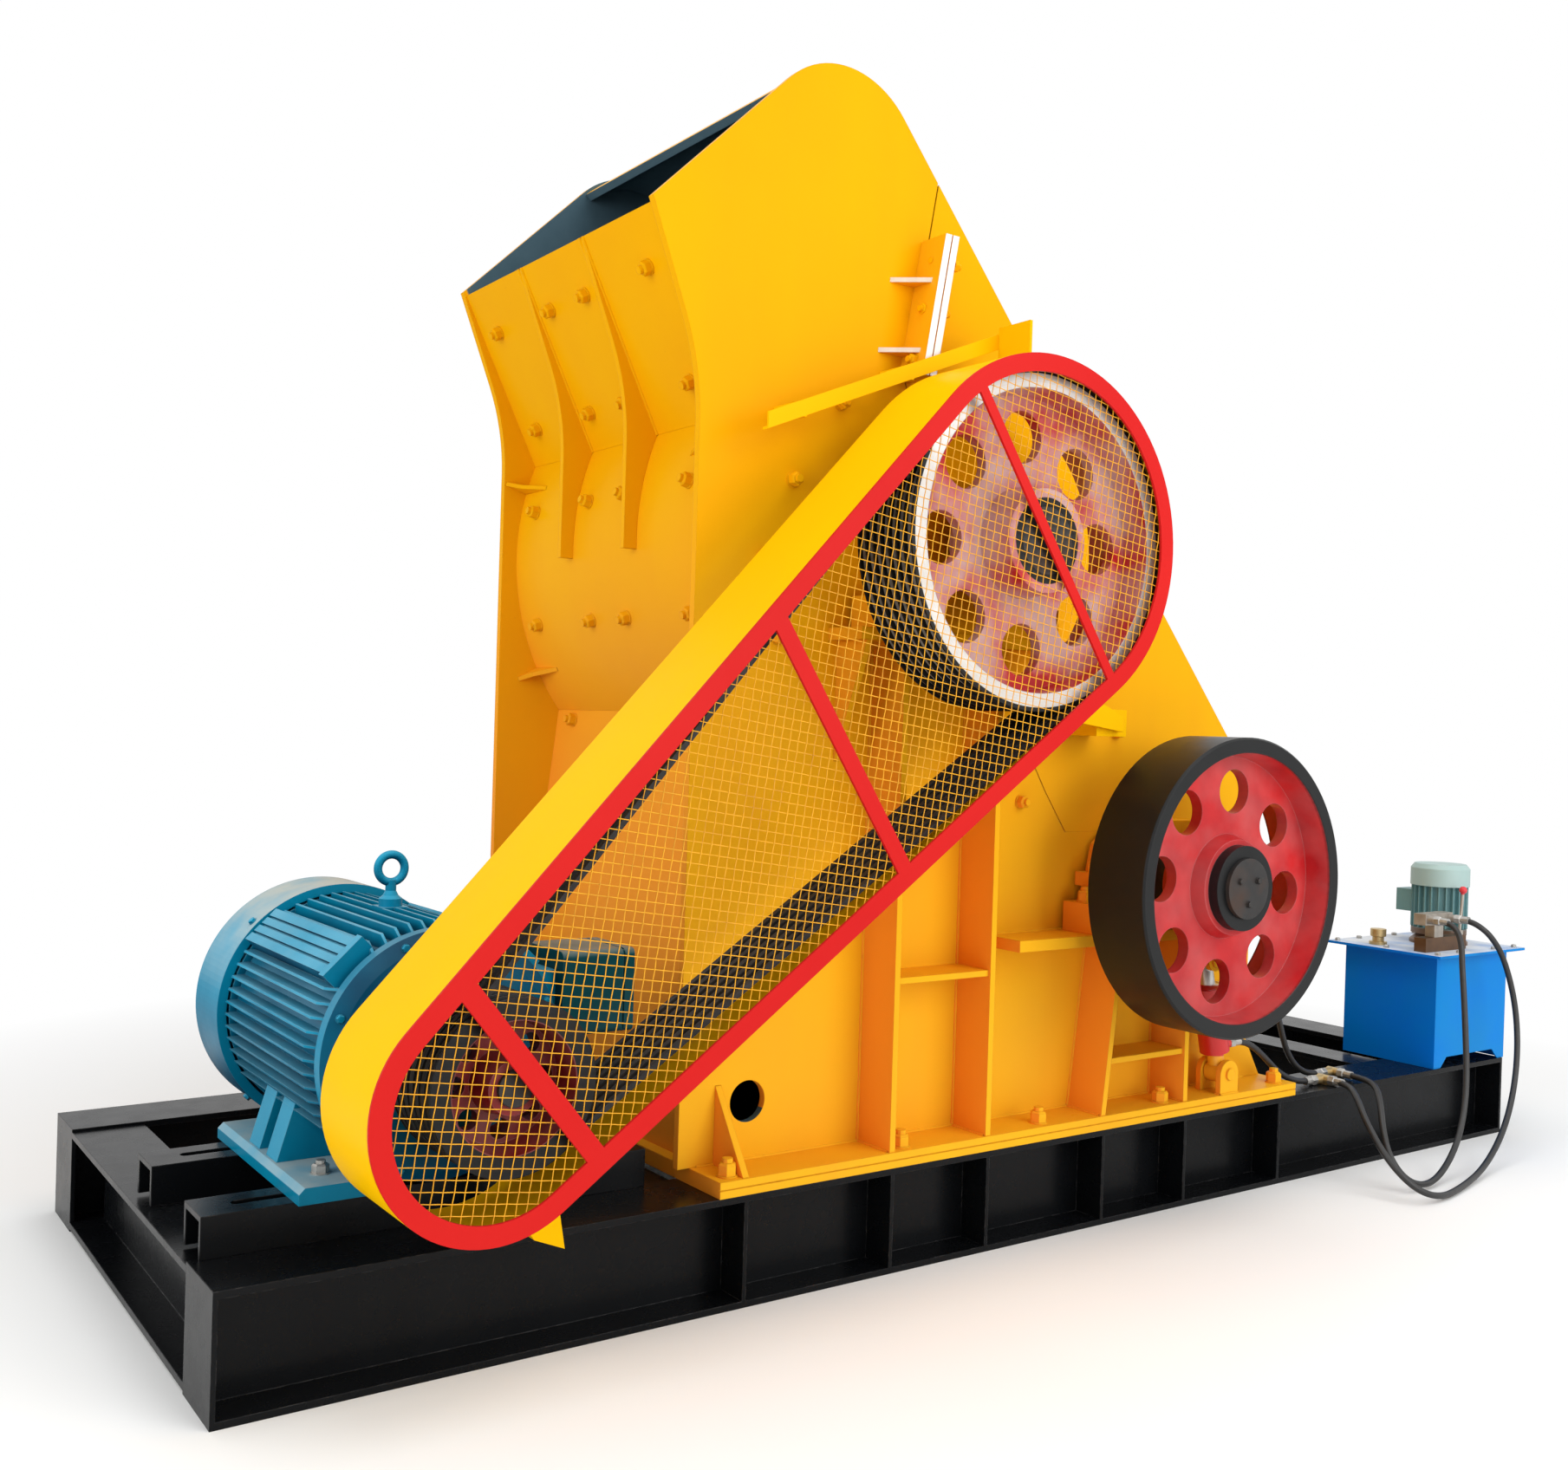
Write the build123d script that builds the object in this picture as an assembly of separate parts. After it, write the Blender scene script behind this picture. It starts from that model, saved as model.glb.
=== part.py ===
"""Two-stage hammer crusher on a steel skid, with its belt drive, flywheels and hydraulic power pack.

Lengths are in millimetres. While a piece is drawn, X runs from the skid's left end, Y runs back from its
front edge and Z rises from the floor. When a piece is written it is moved, so that the origin is on the
floor in the middle of the machine.
"""
import os
from math import atan2, cos, degrees, hypot, pi, radians, sin, sqrt, tan

from build123d import *

# The skid of rolled beams
SKID_LENGTH = 5040
SKID_WIDTH = 1720
SKID_HEIGHT = 300
BEAM_WIDTH = 220
FLANGE = 18
WEB = 12

# The housing: two side walls, the plates between them, and the flange that it stands on
WALL = 24
WALL_FRONT = 155
WALL_REAR = 1396
WALL_LEFT = 1252
WALL_RIGHT = 3620
BASE_LEFT = 1290
BASE_RIGHT = 3706
BASE_DEPTH = 230
SOLE = 22
PLATE = 25
RIB = 20
MID_Y = (WALL_FRONT + WALL_REAR) / 2
WALL_FOOT = SKID_HEIGHT + 2 * SOLE

# The feed mouth, the rounded hood and the long slope of the side walls, as points in X and Z
LIP = (1088, 2928)
APEX = (1728, 3558)
HOOD_RADIUS = 280
SLOPE_FOOT = (WALL_RIGHT, 1382)
PLATE_INSET = 10

# The two rotors
UPPER = (2123, 2083)
LOWER = (3016, 1085)
SHAFT = 95
SHAFT_HOLE = 115
RUNNING_GAP = 1.0
UPPER_TIP = 600
LOWER_TIP = 480
SHELL_RADIUS = 820
WHEEL_FRONT = -300
WHEEL_BACK = -73
FLYWHEEL_RADIUS = 470
SHAFT_END = -308
PULLEY_SHAFT_END = -286

# The motor and its belt drive
MOTOR = (565, 730)
MOTOR_PULLEY_RADIUS = 200
UPPER_PULLEY_RADIUS = 475
PULLEY_FRONT = -268
FLYWHEEL_TURN = 39
PULLEY_TURN = 2
PULLEY_BACK = -38
BELTS = 7
BELT_PITCH = 32
BELT_WIDTH = 16
BELT_THICK = 14
GROOVE_DEPTH = 24
MOTOR_SHAFT = 42
RAIL_TOP = 400

# The belt guard
GUARD_FRONT = -300
GUARD_BACK = -12
GUARD_SHEET = 6
GUARD_LOW = (505, 687)
GUARD_LOW_RADIUS = 288
GUARD_TOP = (2113, 2090)
GUARD_TOP_RADIUS = 503
FRAME_WIDTH = 50
FRAME_THICK = 8
MESH_PITCH = 120
MESH_WIRES = 12
MESH_TILT = -8.5
MESH_BAR = 4

# The hydraulic power pack
TANK_LEFT = 4565
TANK_RIGHT = 5055
TANK_FRONT = 5
TANK_BACK = 405
TANK_TOP = 735
LID_RIGHT = 5100
HOSE = 22
MID_X = LID_RIGHT / 2


def block(x0, x1, y0, y1, z0, z1):
    """A rectangular bar between two corners."""
    middle = ((x0 + x1) / 2, (y0 + y1) / 2, (z0 + z1) / 2)
    return Pos(*middle) * Box(x1 - x0, y1 - y0, z1 - z0)


def outline(*points):
    """A flat face with straight sides."""
    return make_face(Polyline(*points, close=True))


def disc(centre, radius):
    """A round face at a point."""
    return Pos(*centre) * Circle(radius)


def upright(face, y0, y1):
    """A plate that stands across Y: its face is drawn in X and Z."""
    return extrude(Plane.XZ.offset(-y0) * face, amount=y1 - y0, dir=(0, 1, 0))


def across(face, x0, x1):
    """A plate that stands across X: its face is drawn in Y and Z."""
    return extrude(Plane.YZ.offset(x0) * face, amount=x1 - x0, dir=(1, 0, 0))


def rod(centre, radius, y0, y1):
    """A round bar along Y through a point of the XZ plane."""
    return upright(disc(centre, radius), y0, y1)


def turned(centre, *profile):
    """A turned piece on an axis along Y: its profile is given as radius and Y."""
    body = revolve(outline(*profile), Axis.Y)
    return Pos(centre[0], 0, centre[1]) * body


def upright_turned(centre, *profile):
    """A turned piece on an upright axis: its profile is given as radius and Z."""
    face = Plane.XZ * outline(*profile)
    return Pos(centre[0], centre[1], 0) * revolve(face, Axis.Z)


def ring_of(count, radius, centre, turn=0):
    """The points of a bolt circle in X and Z."""
    for step in range(count):
        angle = radians(turn + 360 * step / count)
        yield centre[0] + radius * cos(angle), centre[1] + radius * sin(angle)


def at_back(piece):
    """The same piece on the other side of the housing."""
    return mirror(piece, about=Plane.XZ.offset(-MID_Y))


def both_sides(pieces):
    """Pieces of the front side together with their mirror images."""
    return list(pieces) + [at_back(piece) for piece in pieces]


# The skid: four outer beams, three cross beams and the motor's slide rails
def beam_along_x(y0, ends, stiffener_x):
    """An outer beam with closed ends and with stiffeners in its two hollow sides."""
    x0, x1 = ends
    y1 = y0 + BEAM_WIDTH
    web_y = (y0 + y1) / 2
    beam = block(x0, x1, y0, y1, 0, FLANGE)
    beam += block(x0, x1, y0, y1, SKID_HEIGHT - FLANGE, SKID_HEIGHT)
    beam += block(x0, x1, web_y - WEB / 2, web_y + WEB / 2, FLANGE, SKID_HEIGHT - FLANGE)
    for x in (x0 + WEB / 2, x1 - WEB / 2, *stiffener_x):
        beam += block(x - WEB / 2, x + WEB / 2, y0, y1, FLANGE, SKID_HEIGHT - FLANGE)
    return beam


def beam_along_y(x0, width):
    """A cross beam between the two long beams."""
    y0, y1 = BEAM_WIDTH, SKID_WIDTH - BEAM_WIDTH
    z0, z1 = CROSS_BEAM_STEP, SKID_HEIGHT - CROSS_BEAM_STEP
    web_x = x0 + width / 2
    beam = block(x0, x0 + width, y0, y1, z0, z0 + FLANGE)
    beam += block(x0, x0 + width, y0, y1, z1 - FLANGE, z1)
    beam += block(web_x - WEB / 2, web_x + WEB / 2, y0, y1, z0 + FLANGE, z1 - FLANGE)
    return beam


END_BEAM = 200
CROSS_BEAM = 160
CROSS_BEAM_STEP = 8
CROSS_BEAM_X = (1120, 3560, 4400)
RIB_X = (1875, 2242)
STIFFENER_X = (1375, *RIB_X, 2736, 3125, 3618)
RAIL_DEPTHS = ((205, 345), (660, 800))
RAIL_ENDS = (25, 1180)
RAIL_WALL = 14
RAIL_SLOTS = ((110, 380), (740, 1010))
SLOT_WIDTH = 30


def motor_rail(y0, y1):
    """A slide rail: an upturned channel with two long bolt slots in its top."""
    x0, x1 = RAIL_ENDS
    rail = block(x0, x1, y0, y1, SKID_HEIGHT, RAIL_TOP)
    rail -= block(x0, x1, y0 + RAIL_WALL, y1 - RAIL_WALL, SKID_HEIGHT, RAIL_TOP - RAIL_WALL)
    middle = (y0 + y1) / 2
    for left, right in RAIL_SLOTS:
        slot = SlotOverall(right - left, SLOT_WIDTH)
        place = Pos((left + right) / 2, middle, RAIL_TOP - 2 * RAIL_WALL)
        rail -= place * extrude(slot, amount=3 * RAIL_WALL)
    return rail


# The housing
def slope_z(x):
    """Height of the walls' long slope at a point along X."""
    share = (x - APEX[0]) / (SLOPE_FOOT[0] - APEX[0])
    return APEX[1] + share * (SLOPE_FOOT[1] - APEX[1])


BEND = (WALL_LEFT, 2505)
BEND_RADIUS = 790
SPLIT_TOP = 2060
SPLIT_GAP = 4
SPLIT = ((1955, 2570), UPPER, (2580, 1367), (2677, 1233), (3200, 1233), (3200, 700), (WALL_RIGHT, 700))
FOOT_BEND = 480
PEEP_HOLE = (1473, 505)
PEEP_RADIUS = 58


def mouth_point(distance):
    """A point on the slanted feed mouth, at a distance from the lip."""
    length = hypot(APEX[0] - LIP[0], APEX[1] - LIP[1])
    return tuple(LIP[i] + (APEX[i] - LIP[i]) * distance / length for i in (0, 1))


def wall_face():
    """The fixed part of a side wall: lip, hood and foot, up to the split line on its right."""
    start = (WALL_LEFT, WALL_FOOT)
    split_top = (SPLIT_TOP, slope_z(SPLIT_TOP))
    foot = ((WALL_RIGHT, FOOT_BEND), (BASE_RIGHT - 6, WALL_FOOT))
    edge = [FilletPolyline(start, BEND, LIP, radius=BEND_RADIUS)]
    edge += [FilletPolyline(LIP, APEX, split_top, radius=HOOD_RADIUS)]
    edge += [Polyline(split_top, *SPLIT, *foot, start)]
    face = make_face(edge)
    return face - disc(UPPER, SHAFT_HOLE) - disc(LOWER, SHAFT_HOLE)


def cover_face():
    """The bolted cover part of a side wall, to the right of the split line."""
    split_x = SPLIT_TOP + SPLIT_GAP
    points = [(split_x, slope_z(split_x))]
    points += [(x + SPLIT_GAP, z) for x, z in SPLIT[:4]]
    points += [*SPLIT[4:], SLOPE_FOOT]
    return outline(*points) - disc(UPPER, SHAFT_HOLE)


def band_face(path, thickness, side):
    """The cut edge of a bent plate that follows a path."""
    return make_face(offset(path, thickness, side=side, closed=True))


def inset_slope(x):
    """A point just inside the walls' long slope."""
    fall = atan2(APEX[1] - SLOPE_FOOT[1], SLOPE_FOOT[0] - APEX[0])
    return x - PLATE_INSET * sin(fall), slope_z(x) - PLATE_INSET * cos(fall)


INSIDE_FRONT = WALL_FRONT + WALL
INSIDE_REAR = WALL_REAR - WALL
SHELL_START = 158
SHELL_END = 218


def shell_point(angle, radius):
    """A point on the upper rotor's round shell."""
    return UPPER[0] + radius * cos(radians(angle)), UPPER[1] + radius * sin(radians(angle))


FEED_TOP = (LIP[0] + PLATE_INSET, LIP[1] - PLATE_INSET)
SHELL_INNER = SHELL_RADIUS - PLATE


def feed_plate_face():
    """The slanted feed plate, from the lip down to the shell."""
    low = shell_point(SHELL_START, SHELL_RADIUS)
    length = hypot(low[0] - FEED_TOP[0], low[1] - FEED_TOP[1])
    normal = ((FEED_TOP[1] - low[1]) / length, (low[0] - FEED_TOP[0]) / length)
    inner_top = (FEED_TOP[0] + PLATE * normal[0], FEED_TOP[1] + PLATE * normal[1])
    return outline(FEED_TOP, inner_top, shell_point(SHELL_START, SHELL_INNER), low)


def shell_face():
    """The curved plate round the left half of the upper rotor."""
    sweep = SHELL_END - SHELL_START
    outer = CenterArc(UPPER, SHELL_RADIUS, SHELL_START, sweep)
    inner = CenterArc(UPPER, SHELL_INNER, SHELL_START, sweep)
    return make_face([outer, inner, Line(outer @ 0, inner @ 0), Line(outer @ 1, inner @ 1)])


LEFT_RIB_EDGE = WALL_LEFT + 8
LEFT_RIB_FOOT = 2050


def left_rib_face():
    """A rib behind the feed plate: its outer edge follows the side walls."""
    low = shell_point(SHELL_START, SHELL_RADIUS)
    foot_drop = UPPER[1] - LEFT_RIB_FOOT
    foot = (UPPER[0] - sqrt(SHELL_RADIUS ** 2 - foot_drop ** 2), LEFT_RIB_FOOT)
    middle = shell_point((SHELL_START + 182) / 2, SHELL_RADIUS)
    heel = (LEFT_RIB_EDGE, LEFT_RIB_FOOT)
    edge = [FilletPolyline(heel, (LEFT_RIB_EDGE, BEND[1]), FEED_TOP, radius=BEND_RADIUS)]
    edge += [Line(FEED_TOP, low), ThreePointArc(low, middle, foot), Line(foot, heel)]
    return make_face(edge)


GUSSET_ANGLES = (164.5, 207)


def shell_gusset(angle):
    """A small three-cornered plate that stands out from the shell, in the corner at the front wall."""
    corner = outline((SHELL_RADIUS, INSIDE_FRONT), (SHELL_RADIUS + 78, INSIDE_FRONT),
                     (SHELL_RADIUS + 40, INSIDE_FRONT + 40), (SHELL_RADIUS, INSIDE_FRONT + 150))
    plate = extrude(corner, amount=7, both=True)
    return Pos(UPPER[0], 0, UPPER[1]) * Rot(0, -angle, 0) * plate


LOW_PLATE_FOOT = 1330


def low_plate_face():
    """The slanted plate below the shell."""
    return outline(shell_point(SHELL_END, SHELL_RADIUS), shell_point(SHELL_END, SHELL_INNER),
                   (LOW_PLATE_FOOT + PLATE, WALL_FOOT), (LOW_PLATE_FOOT, WALL_FOOT))


def hood_face():
    """The bent roof plate, from the feed mouth over the top to the split line."""
    fall = atan2(APEX[1] - SLOPE_FOOT[1], SLOPE_FOOT[0] - APEX[0])
    climb = atan2(APEX[1] - LIP[1], APEX[0] - LIP[0])
    start = mouth_point(600)
    start = (start[0] + PLATE_INSET * sin(climb), start[1] - PLATE_INSET * cos(climb))
    end = inset_slope(SPLIT_TOP)
    turn = fall + climb
    drop = PLATE_INSET / cos(turn / 2)
    lean = (climb - fall) / 2
    apex = (APEX[0] + drop * sin(lean), APEX[1] - drop * cos(lean))
    path = FilletPolyline(start, apex, end, radius=HOOD_RADIUS - PLATE_INSET)
    return band_face(path, PLATE, Side.RIGHT)


END_PLATE_X = WALL_RIGHT - PLATE_INSET


def cover_plate_face():
    """The cover's bent plate: down the slope, then down the right-hand end."""
    corner = (END_PLATE_X, slope_z(END_PLATE_X) - PLATE_INSET)
    path = FilletPolyline(inset_slope(SPLIT_TOP + SPLIT_GAP), corner, (END_PLATE_X, 700), radius=60)
    return band_face(path, PLATE, Side.RIGHT)


# What is welded to the side walls
UPPER_SHELF_Z = 1830
LOWER_SHELF_Z = 920
SHELF = 35
UPPER_SHELF_X = (1705, 2646)
LOWER_SHELF_X = (2345, 3460)


def wall_rib(x0, x_top, z_top):
    """An upright rib in front of a wall."""
    face = outline((x0 - RIB / 2, WALL_FOOT), (x0 + RIB / 2, WALL_FOOT),
                   (x_top + RIB / 2, z_top), (x_top - RIB / 2, z_top))
    return upright(face, 5, WALL_FRONT)


def wall_ribs():
    """The ribs, the little shelves between them and the corner gusset, on the front wall."""
    top = UPPER_SHELF_Z - SHELF
    ribs = [wall_rib(x, x, top) for x in RIB_X]
    low_top = LOWER_SHELF_Z - SHELF
    ribs += [wall_rib(2736, 2800, low_top), wall_rib(3125, 3125, low_top)]
    tie = block(RIB_X[0] + RIB / 2, RIB_X[1] - RIB / 2, 15, WALL_FRONT, 820, 838)
    low_tie_left = 2736 + RIB / 2 + (2800 - 2736) * (520 - WALL_FOOT) / (low_top - WALL_FOOT)
    low_tie = block(low_tie_left, 3125 - RIB / 2, 15, WALL_FRONT, 502, 520)
    gusset = across(outline((5, WALL_FOOT), (WALL_FRONT, WALL_FOOT), (WALL_FRONT, 560)), 1365, 1385)
    hanger = across(outline((15, top), (WALL_FRONT, top), (WALL_FRONT, 1450)), 1735, 1755)
    return [ribs[0] + ribs[1] + tie, ribs[2] + ribs[3] + low_tie, gusset, hanger]


def bearing(centre, shelf_z):
    """A split bearing block on its shelf: base, body, split flange and cap."""
    x, z = centre
    half = 350
    base = outline((x - half, shelf_z), (x + half, shelf_z),
                   (x + half, shelf_z + 95), (x - half, shelf_z + 95))
    split = outline((x - 300, z - 22), (x + 300, z - 22), (x + 300, z + 22), (x - 300, z + 22))
    body = outline((x - 290, shelf_z + 95), (x + 290, shelf_z + 95), (x + 260, z), (x - 260, z))
    cap = outline((x - 260, z), (x + 260, z), (x + 235, z + 110), (x + 130, z + 190),
                  (x - 130, z + 190), (x - 235, z + 110))
    face = base + body + split + cap - disc(centre, SHAFT + RUNNING_GAP)
    return upright(face, 10, 140)


SPLIT_FLANGE_Z = (2570, 2990)
SPLIT_FLANGE_FRONT = 45


def split_flange(offset_x):
    """Half of the bolted flange that stands on the split line."""
    z0, z1 = SPLIT_FLANGE_Z
    slope = (SPLIT_TOP - SPLIT[0][0]) / (slope_z(SPLIT_TOP) - SPLIT[0][1])
    x0 = SPLIT[0][0]
    x1 = x0 + slope * (z1 - z0)
    left, right = offset_x
    face = outline((x0 + left, z0), (x0 + right, z0), (x1 + right, z1), (x1 + left, z1))
    return upright(face, SPLIT_FLANGE_FRONT, WALL_FRONT)


def split_gusset(z):
    """A flat corner gusset on the left of the split flange."""
    slope = (SPLIT_TOP - SPLIT[0][0]) / (slope_z(SPLIT_TOP) - SPLIT[0][1])
    x = SPLIT[0][0] + slope * (z - SPLIT[0][1])
    corner = outline((x, SPLIT_FLANGE_FRONT + 10), (x, WALL_FRONT), (x - 115, WALL_FRONT))
    return extrude(Plane.XY.offset(z) * corner, amount=14)


# Rotors, wheels and belts
def rotor(centre, disc_radius, tip, front_end):
    """A shaft with four discs, and four rows of hammers on pins between the discs."""
    disc_thick = 45
    gaps = 3
    inner0, inner1 = INSIDE_FRONT + 70, INSIDE_REAR - 70
    step = (inner1 - inner0 - disc_thick) / gaps
    disc_y = [inner0 + step * i for i in range(gaps + 1)]
    shaft = rod(centre, SHAFT, front_end, 2 * MID_Y - SHAFT_END)
    pin_radius = 28
    pin_circle = disc_radius - 75
    body = shaft + rod(centre, SHAFT + 60, inner0, inner1)
    for y in disc_y:
        body += rod(centre, disc_radius, y, y + disc_thick)
    hammers = []
    for x, z in ring_of(4, pin_circle, centre, turn=45):
        body += rod((x, z), pin_radius, inner0, inner1)
        for y in disc_y[:-1]:
            hammers.append(hammer(centre, (x, z), tip, y + disc_thick + 25, y + step - 25, pin_radius))
    return body, hammers


def hammer(centre, pin, tip, y0, y1, pin_radius):
    """A swinging hammer that points straight out from its pin."""
    away = degrees(atan2(pin[1] - centre[1], pin[0] - centre[0]))
    reach = tip - hypot(pin[1] - centre[1], pin[0] - centre[0])
    head = 130
    shape = make_hull((Circle(70) + Pos(reach - head, 0) * Rectangle(20, 110)).edges())
    shape += Pos(reach - head / 2, 0) * Rectangle(head, 150)
    shape -= Circle(pin_radius + 3)
    return upright(Pos(*pin) * Rot(0, 0, away) * shape, y0, y1)


def flywheel(centre):
    """A flywheel: heavy smooth rim, web with eight round holes, and a tapered hub."""
    r = FLYWHEEL_RADIUS
    front, back = WHEEL_FRONT, WHEEL_BACK
    web0, web1 = front + 85, front + 125
    wheel = turned(centre, (SHAFT, front + 6), (133, front + 6), (133, front + 40), (150, front + 40),
                   (165, web0), (r - 60, web0), (r - 48, front + 2), (r - 45, front), (r - 6, front),
                   (r, front + 6), (r, back - 6), (r - 6, back), (r - 48, back), (r - 60, web1),
                   (165, web1), (150, back - 20), (SHAFT, back - 20))
    for point in ring_of(8, 300, centre, turn=FLYWHEEL_TURN):
        wheel -= rod(point, 70, web0 - 5, web1 + 5)
    return wheel


def grooved_pulley(centre, radius, rim, hole_circle, hole_radius, hub_radius, bore, hub_front, hub_back):
    """A V-belt pulley: grooved rim, web with eight round holes, and a stepped hub."""
    web0, web1 = PULLEY_FRONT + 85, PULLEY_FRONT + 120
    inner = radius - rim
    profile = [(bore, hub_front), (hub_radius, hub_front), (hub_radius + 12, web0), (inner - 8, web0),
               (inner, PULLEY_FRONT), (radius, PULLEY_FRONT)]
    for y in belt_depths():
        profile += [(radius, y - 14), (radius - GROOVE_DEPTH, y - 10),
                    (radius - GROOVE_DEPTH, y + 10), (radius, y + 14)]
    profile += [(radius, PULLEY_BACK), (inner, PULLEY_BACK), (inner - 8, web1), (hub_radius + 12, web1),
                (hub_radius, hub_back), (bore, hub_back)]
    wheel = turned(centre, *profile)
    for point in ring_of(8, hole_circle, centre, turn=PULLEY_TURN):
        wheel -= rod(point, hole_radius, web0 - 5, web1 + 5)
    return wheel


def belt_depths():
    """Depth of each belt's middle."""
    middle = (PULLEY_FRONT + PULLEY_BACK) / 2
    first = middle - BELT_PITCH * (BELTS - 1) / 2
    return [first + BELT_PITCH * i for i in range(BELTS)]


def loop_face(low_radius, top_radius):
    """The outline round the motor's axis and the upper rotor's axis."""
    return make_hull((disc(MOTOR, low_radius) + disc(UPPER, top_radius)).edges())


def drive_belts():
    """The V-belts, each one a closed loop in its groove."""
    outer = loop_face(MOTOR_PULLEY_RADIUS - 2, UPPER_PULLEY_RADIUS - 2)
    inner = loop_face(MOTOR_PULLEY_RADIUS - 2 - BELT_THICK, UPPER_PULLEY_RADIUS - 2 - BELT_THICK)
    return [upright(outer - inner, y - BELT_WIDTH / 2, y + BELT_WIDTH / 2) for y in belt_depths()]


# The belt guard
def guard_outline(inset):
    """The guard's outline, drawn in by a distance."""
    ends = disc(GUARD_LOW, GUARD_LOW_RADIUS - inset) + disc(GUARD_TOP, GUARD_TOP_RADIUS - inset)
    return make_hull(ends.edges())


# Each cross bar: its middle, its slope in degrees and its width
CROSS_BARS = (((588, 766), -51, 50), ((1536, 1323), -56, 46), ((2111, 2086), -55, 30))


def guard_frame():
    """The flat front frame with its three cross bars."""
    outer = guard_outline(0)
    face = outer - guard_outline(FRAME_WIDTH)
    for middle, slope, width in CROSS_BARS:
        bar = Pos(*middle) * Rot(0, 0, slope) * Rectangle(1600, width)
        face += bar & outer
    return upright(face, GUARD_FRONT - FRAME_THICK, GUARD_FRONT)


def guard_mesh():
    """The wire mesh behind the frame, as a coarse square grid that leans a little."""
    hem = guard_outline(GUARD_SHEET + 2)
    rim = hem - guard_outline(FRAME_WIDTH - 20)
    middle = hem.bounding_box().center()
    offsets = [MESH_PITCH * i for i in range(-MESH_WIRES, MESH_WIRES + 1)]
    wires = [Pos(offset, 0) * Rectangle(MESH_BAR, 3000) for offset in offsets]
    wires += [Pos(0, offset) * Rectangle(3000, MESH_BAR) for offset in offsets]
    grid = Pos(middle.X, middle.Y) * Rot(0, 0, MESH_TILT) * (Sketch() + wires)
    return upright(rim + (grid & hem), GUARD_FRONT, GUARD_FRONT + MESH_BAR)


def guard_band():
    """The guard's rolled side band, with the foot and the straps that hold it to the skid and the wall."""
    band = upright(guard_outline(0) - guard_outline(GUARD_SHEET), GUARD_FRONT, GUARD_BACK)
    inside_band = upright(guard_outline(GUARD_SHEET / 2), GUARD_FRONT - 100, WALL_FRONT)
    foot = outline((640, 430), (720, 500), (790, 440), (822, 262), (740, 296))
    band += upright(foot, GUARD_BACK - 20, 0) - inside_band
    band += block(2190, 2200, -120, BAR_FRONT, 2560, 2740) - inside_band
    tab = outline((2380, 1720), (2420, 1600), (2740, 1560), (2740, 1610), (2500, 1700))
    return band + (upright(tab, GUARD_BACK - 12, 0) - inside_band)


BAR_FRONT = 10
BAR_LOW = (1376, 2380)
BAR_TOP = (2241, 2744)
BAR_DEPTH = 46


def guard_bar():
    """The slanting angle bar above the guard, on two foot plates that stand on the wall."""
    rise = (BAR_TOP[1] - BAR_LOW[1]) / (BAR_TOP[0] - BAR_LOW[0])
    face = outline(BAR_LOW, BAR_TOP, (BAR_TOP[0], BAR_TOP[1] - BAR_DEPTH),
                   (BAR_LOW[0], BAR_LOW[1] - BAR_DEPTH))
    leg = outline((BAR_LOW[0], BAR_LOW[1] - BAR_DEPTH), (BAR_TOP[0], BAR_TOP[1] - BAR_DEPTH),
                  (BAR_TOP[0], BAR_TOP[1] - BAR_DEPTH + 7), (BAR_LOW[0], BAR_LOW[1] - BAR_DEPTH + 7))
    bar = upright(face, BAR_FRONT, BAR_FRONT + 7) + upright(leg, BAR_FRONT, SPLIT_FLANGE_FRONT - 7)
    bar -= rod((BAR_TOP[0] - 35, BAR_TOP[1] - 36), 9, 0, 60)
    for x in (1490, 1860):
        z = BAR_LOW[1] + rise * (x - BAR_LOW[0])
        bar += block(x, x + 10, BAR_FRONT, WALL_FRONT, z - BAR_DEPTH, z)
    return bar


CLIP_X = (2645, 2780)
CLIP_Z = (1545, 1630)


def guard_clip():
    """The channel clip on the wall that takes the guard's lower tab."""
    clip = block(*CLIP_X, 0, WALL_FRONT, *CLIP_Z)
    return clip - block(CLIP_X[0] + 8, CLIP_X[1] - 8, 8, WALL_FRONT, CLIP_Z[0], CLIP_Z[1] - 8)


# The motor
STATOR_RADIUS = 285
FIN_RADIUS = 316
STATOR_Y = (165, 860)
FIN_PITCH = 33
FIN = 6
FIN_ROWS = 5
SHOULDER = 134
FAN_END = 1118
FAN_RADIUS = 337
SHIELD_FRONT = 48
EYE_Y = 507
FOOT_X = (236, 420)
FOOT_TOP = RAIL_TOP + 40
FOOT_BOLT_Y = (275, 730)
FOOT_RIB_Y = ((408, 492), (548, 632))
TERMINAL_X = (900, 1110)
TERMINAL_Y = (170, 400)
TERMINAL_Z = (730, 950)


def shoulder_pad(side):
    """A flat pad with broad ribs on the motor's shoulder, with a boss at its drive end."""
    y0, y1 = STATOR_Y
    pad = Rectangle(60, 112)
    for step in (-1, 0, 1):
        pad -= Pos(26, 28 * step) * Rectangle(12, 7)
    turn = Rot(0, 0, 90 + side * (SHOULDER - 90))
    ribbed = upright(Pos(*MOTOR) * turn * Pos(302, 0) * pad, y0 + 60, y1 - 10)
    boss = upright(Pos(*MOTOR) * turn * Pos(304, 0) * Rectangle(66, 128), y0 + 30, y0 + 62)
    return ribbed + boss


def foot_rib_face():
    """A sloping rib, from the sole of a foot up to the motor body."""
    return outline((FOOT_X[0] + 20, FOOT_TOP), (FOOT_X[1], FOOT_TOP), (500, 500), (330, 690))


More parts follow.
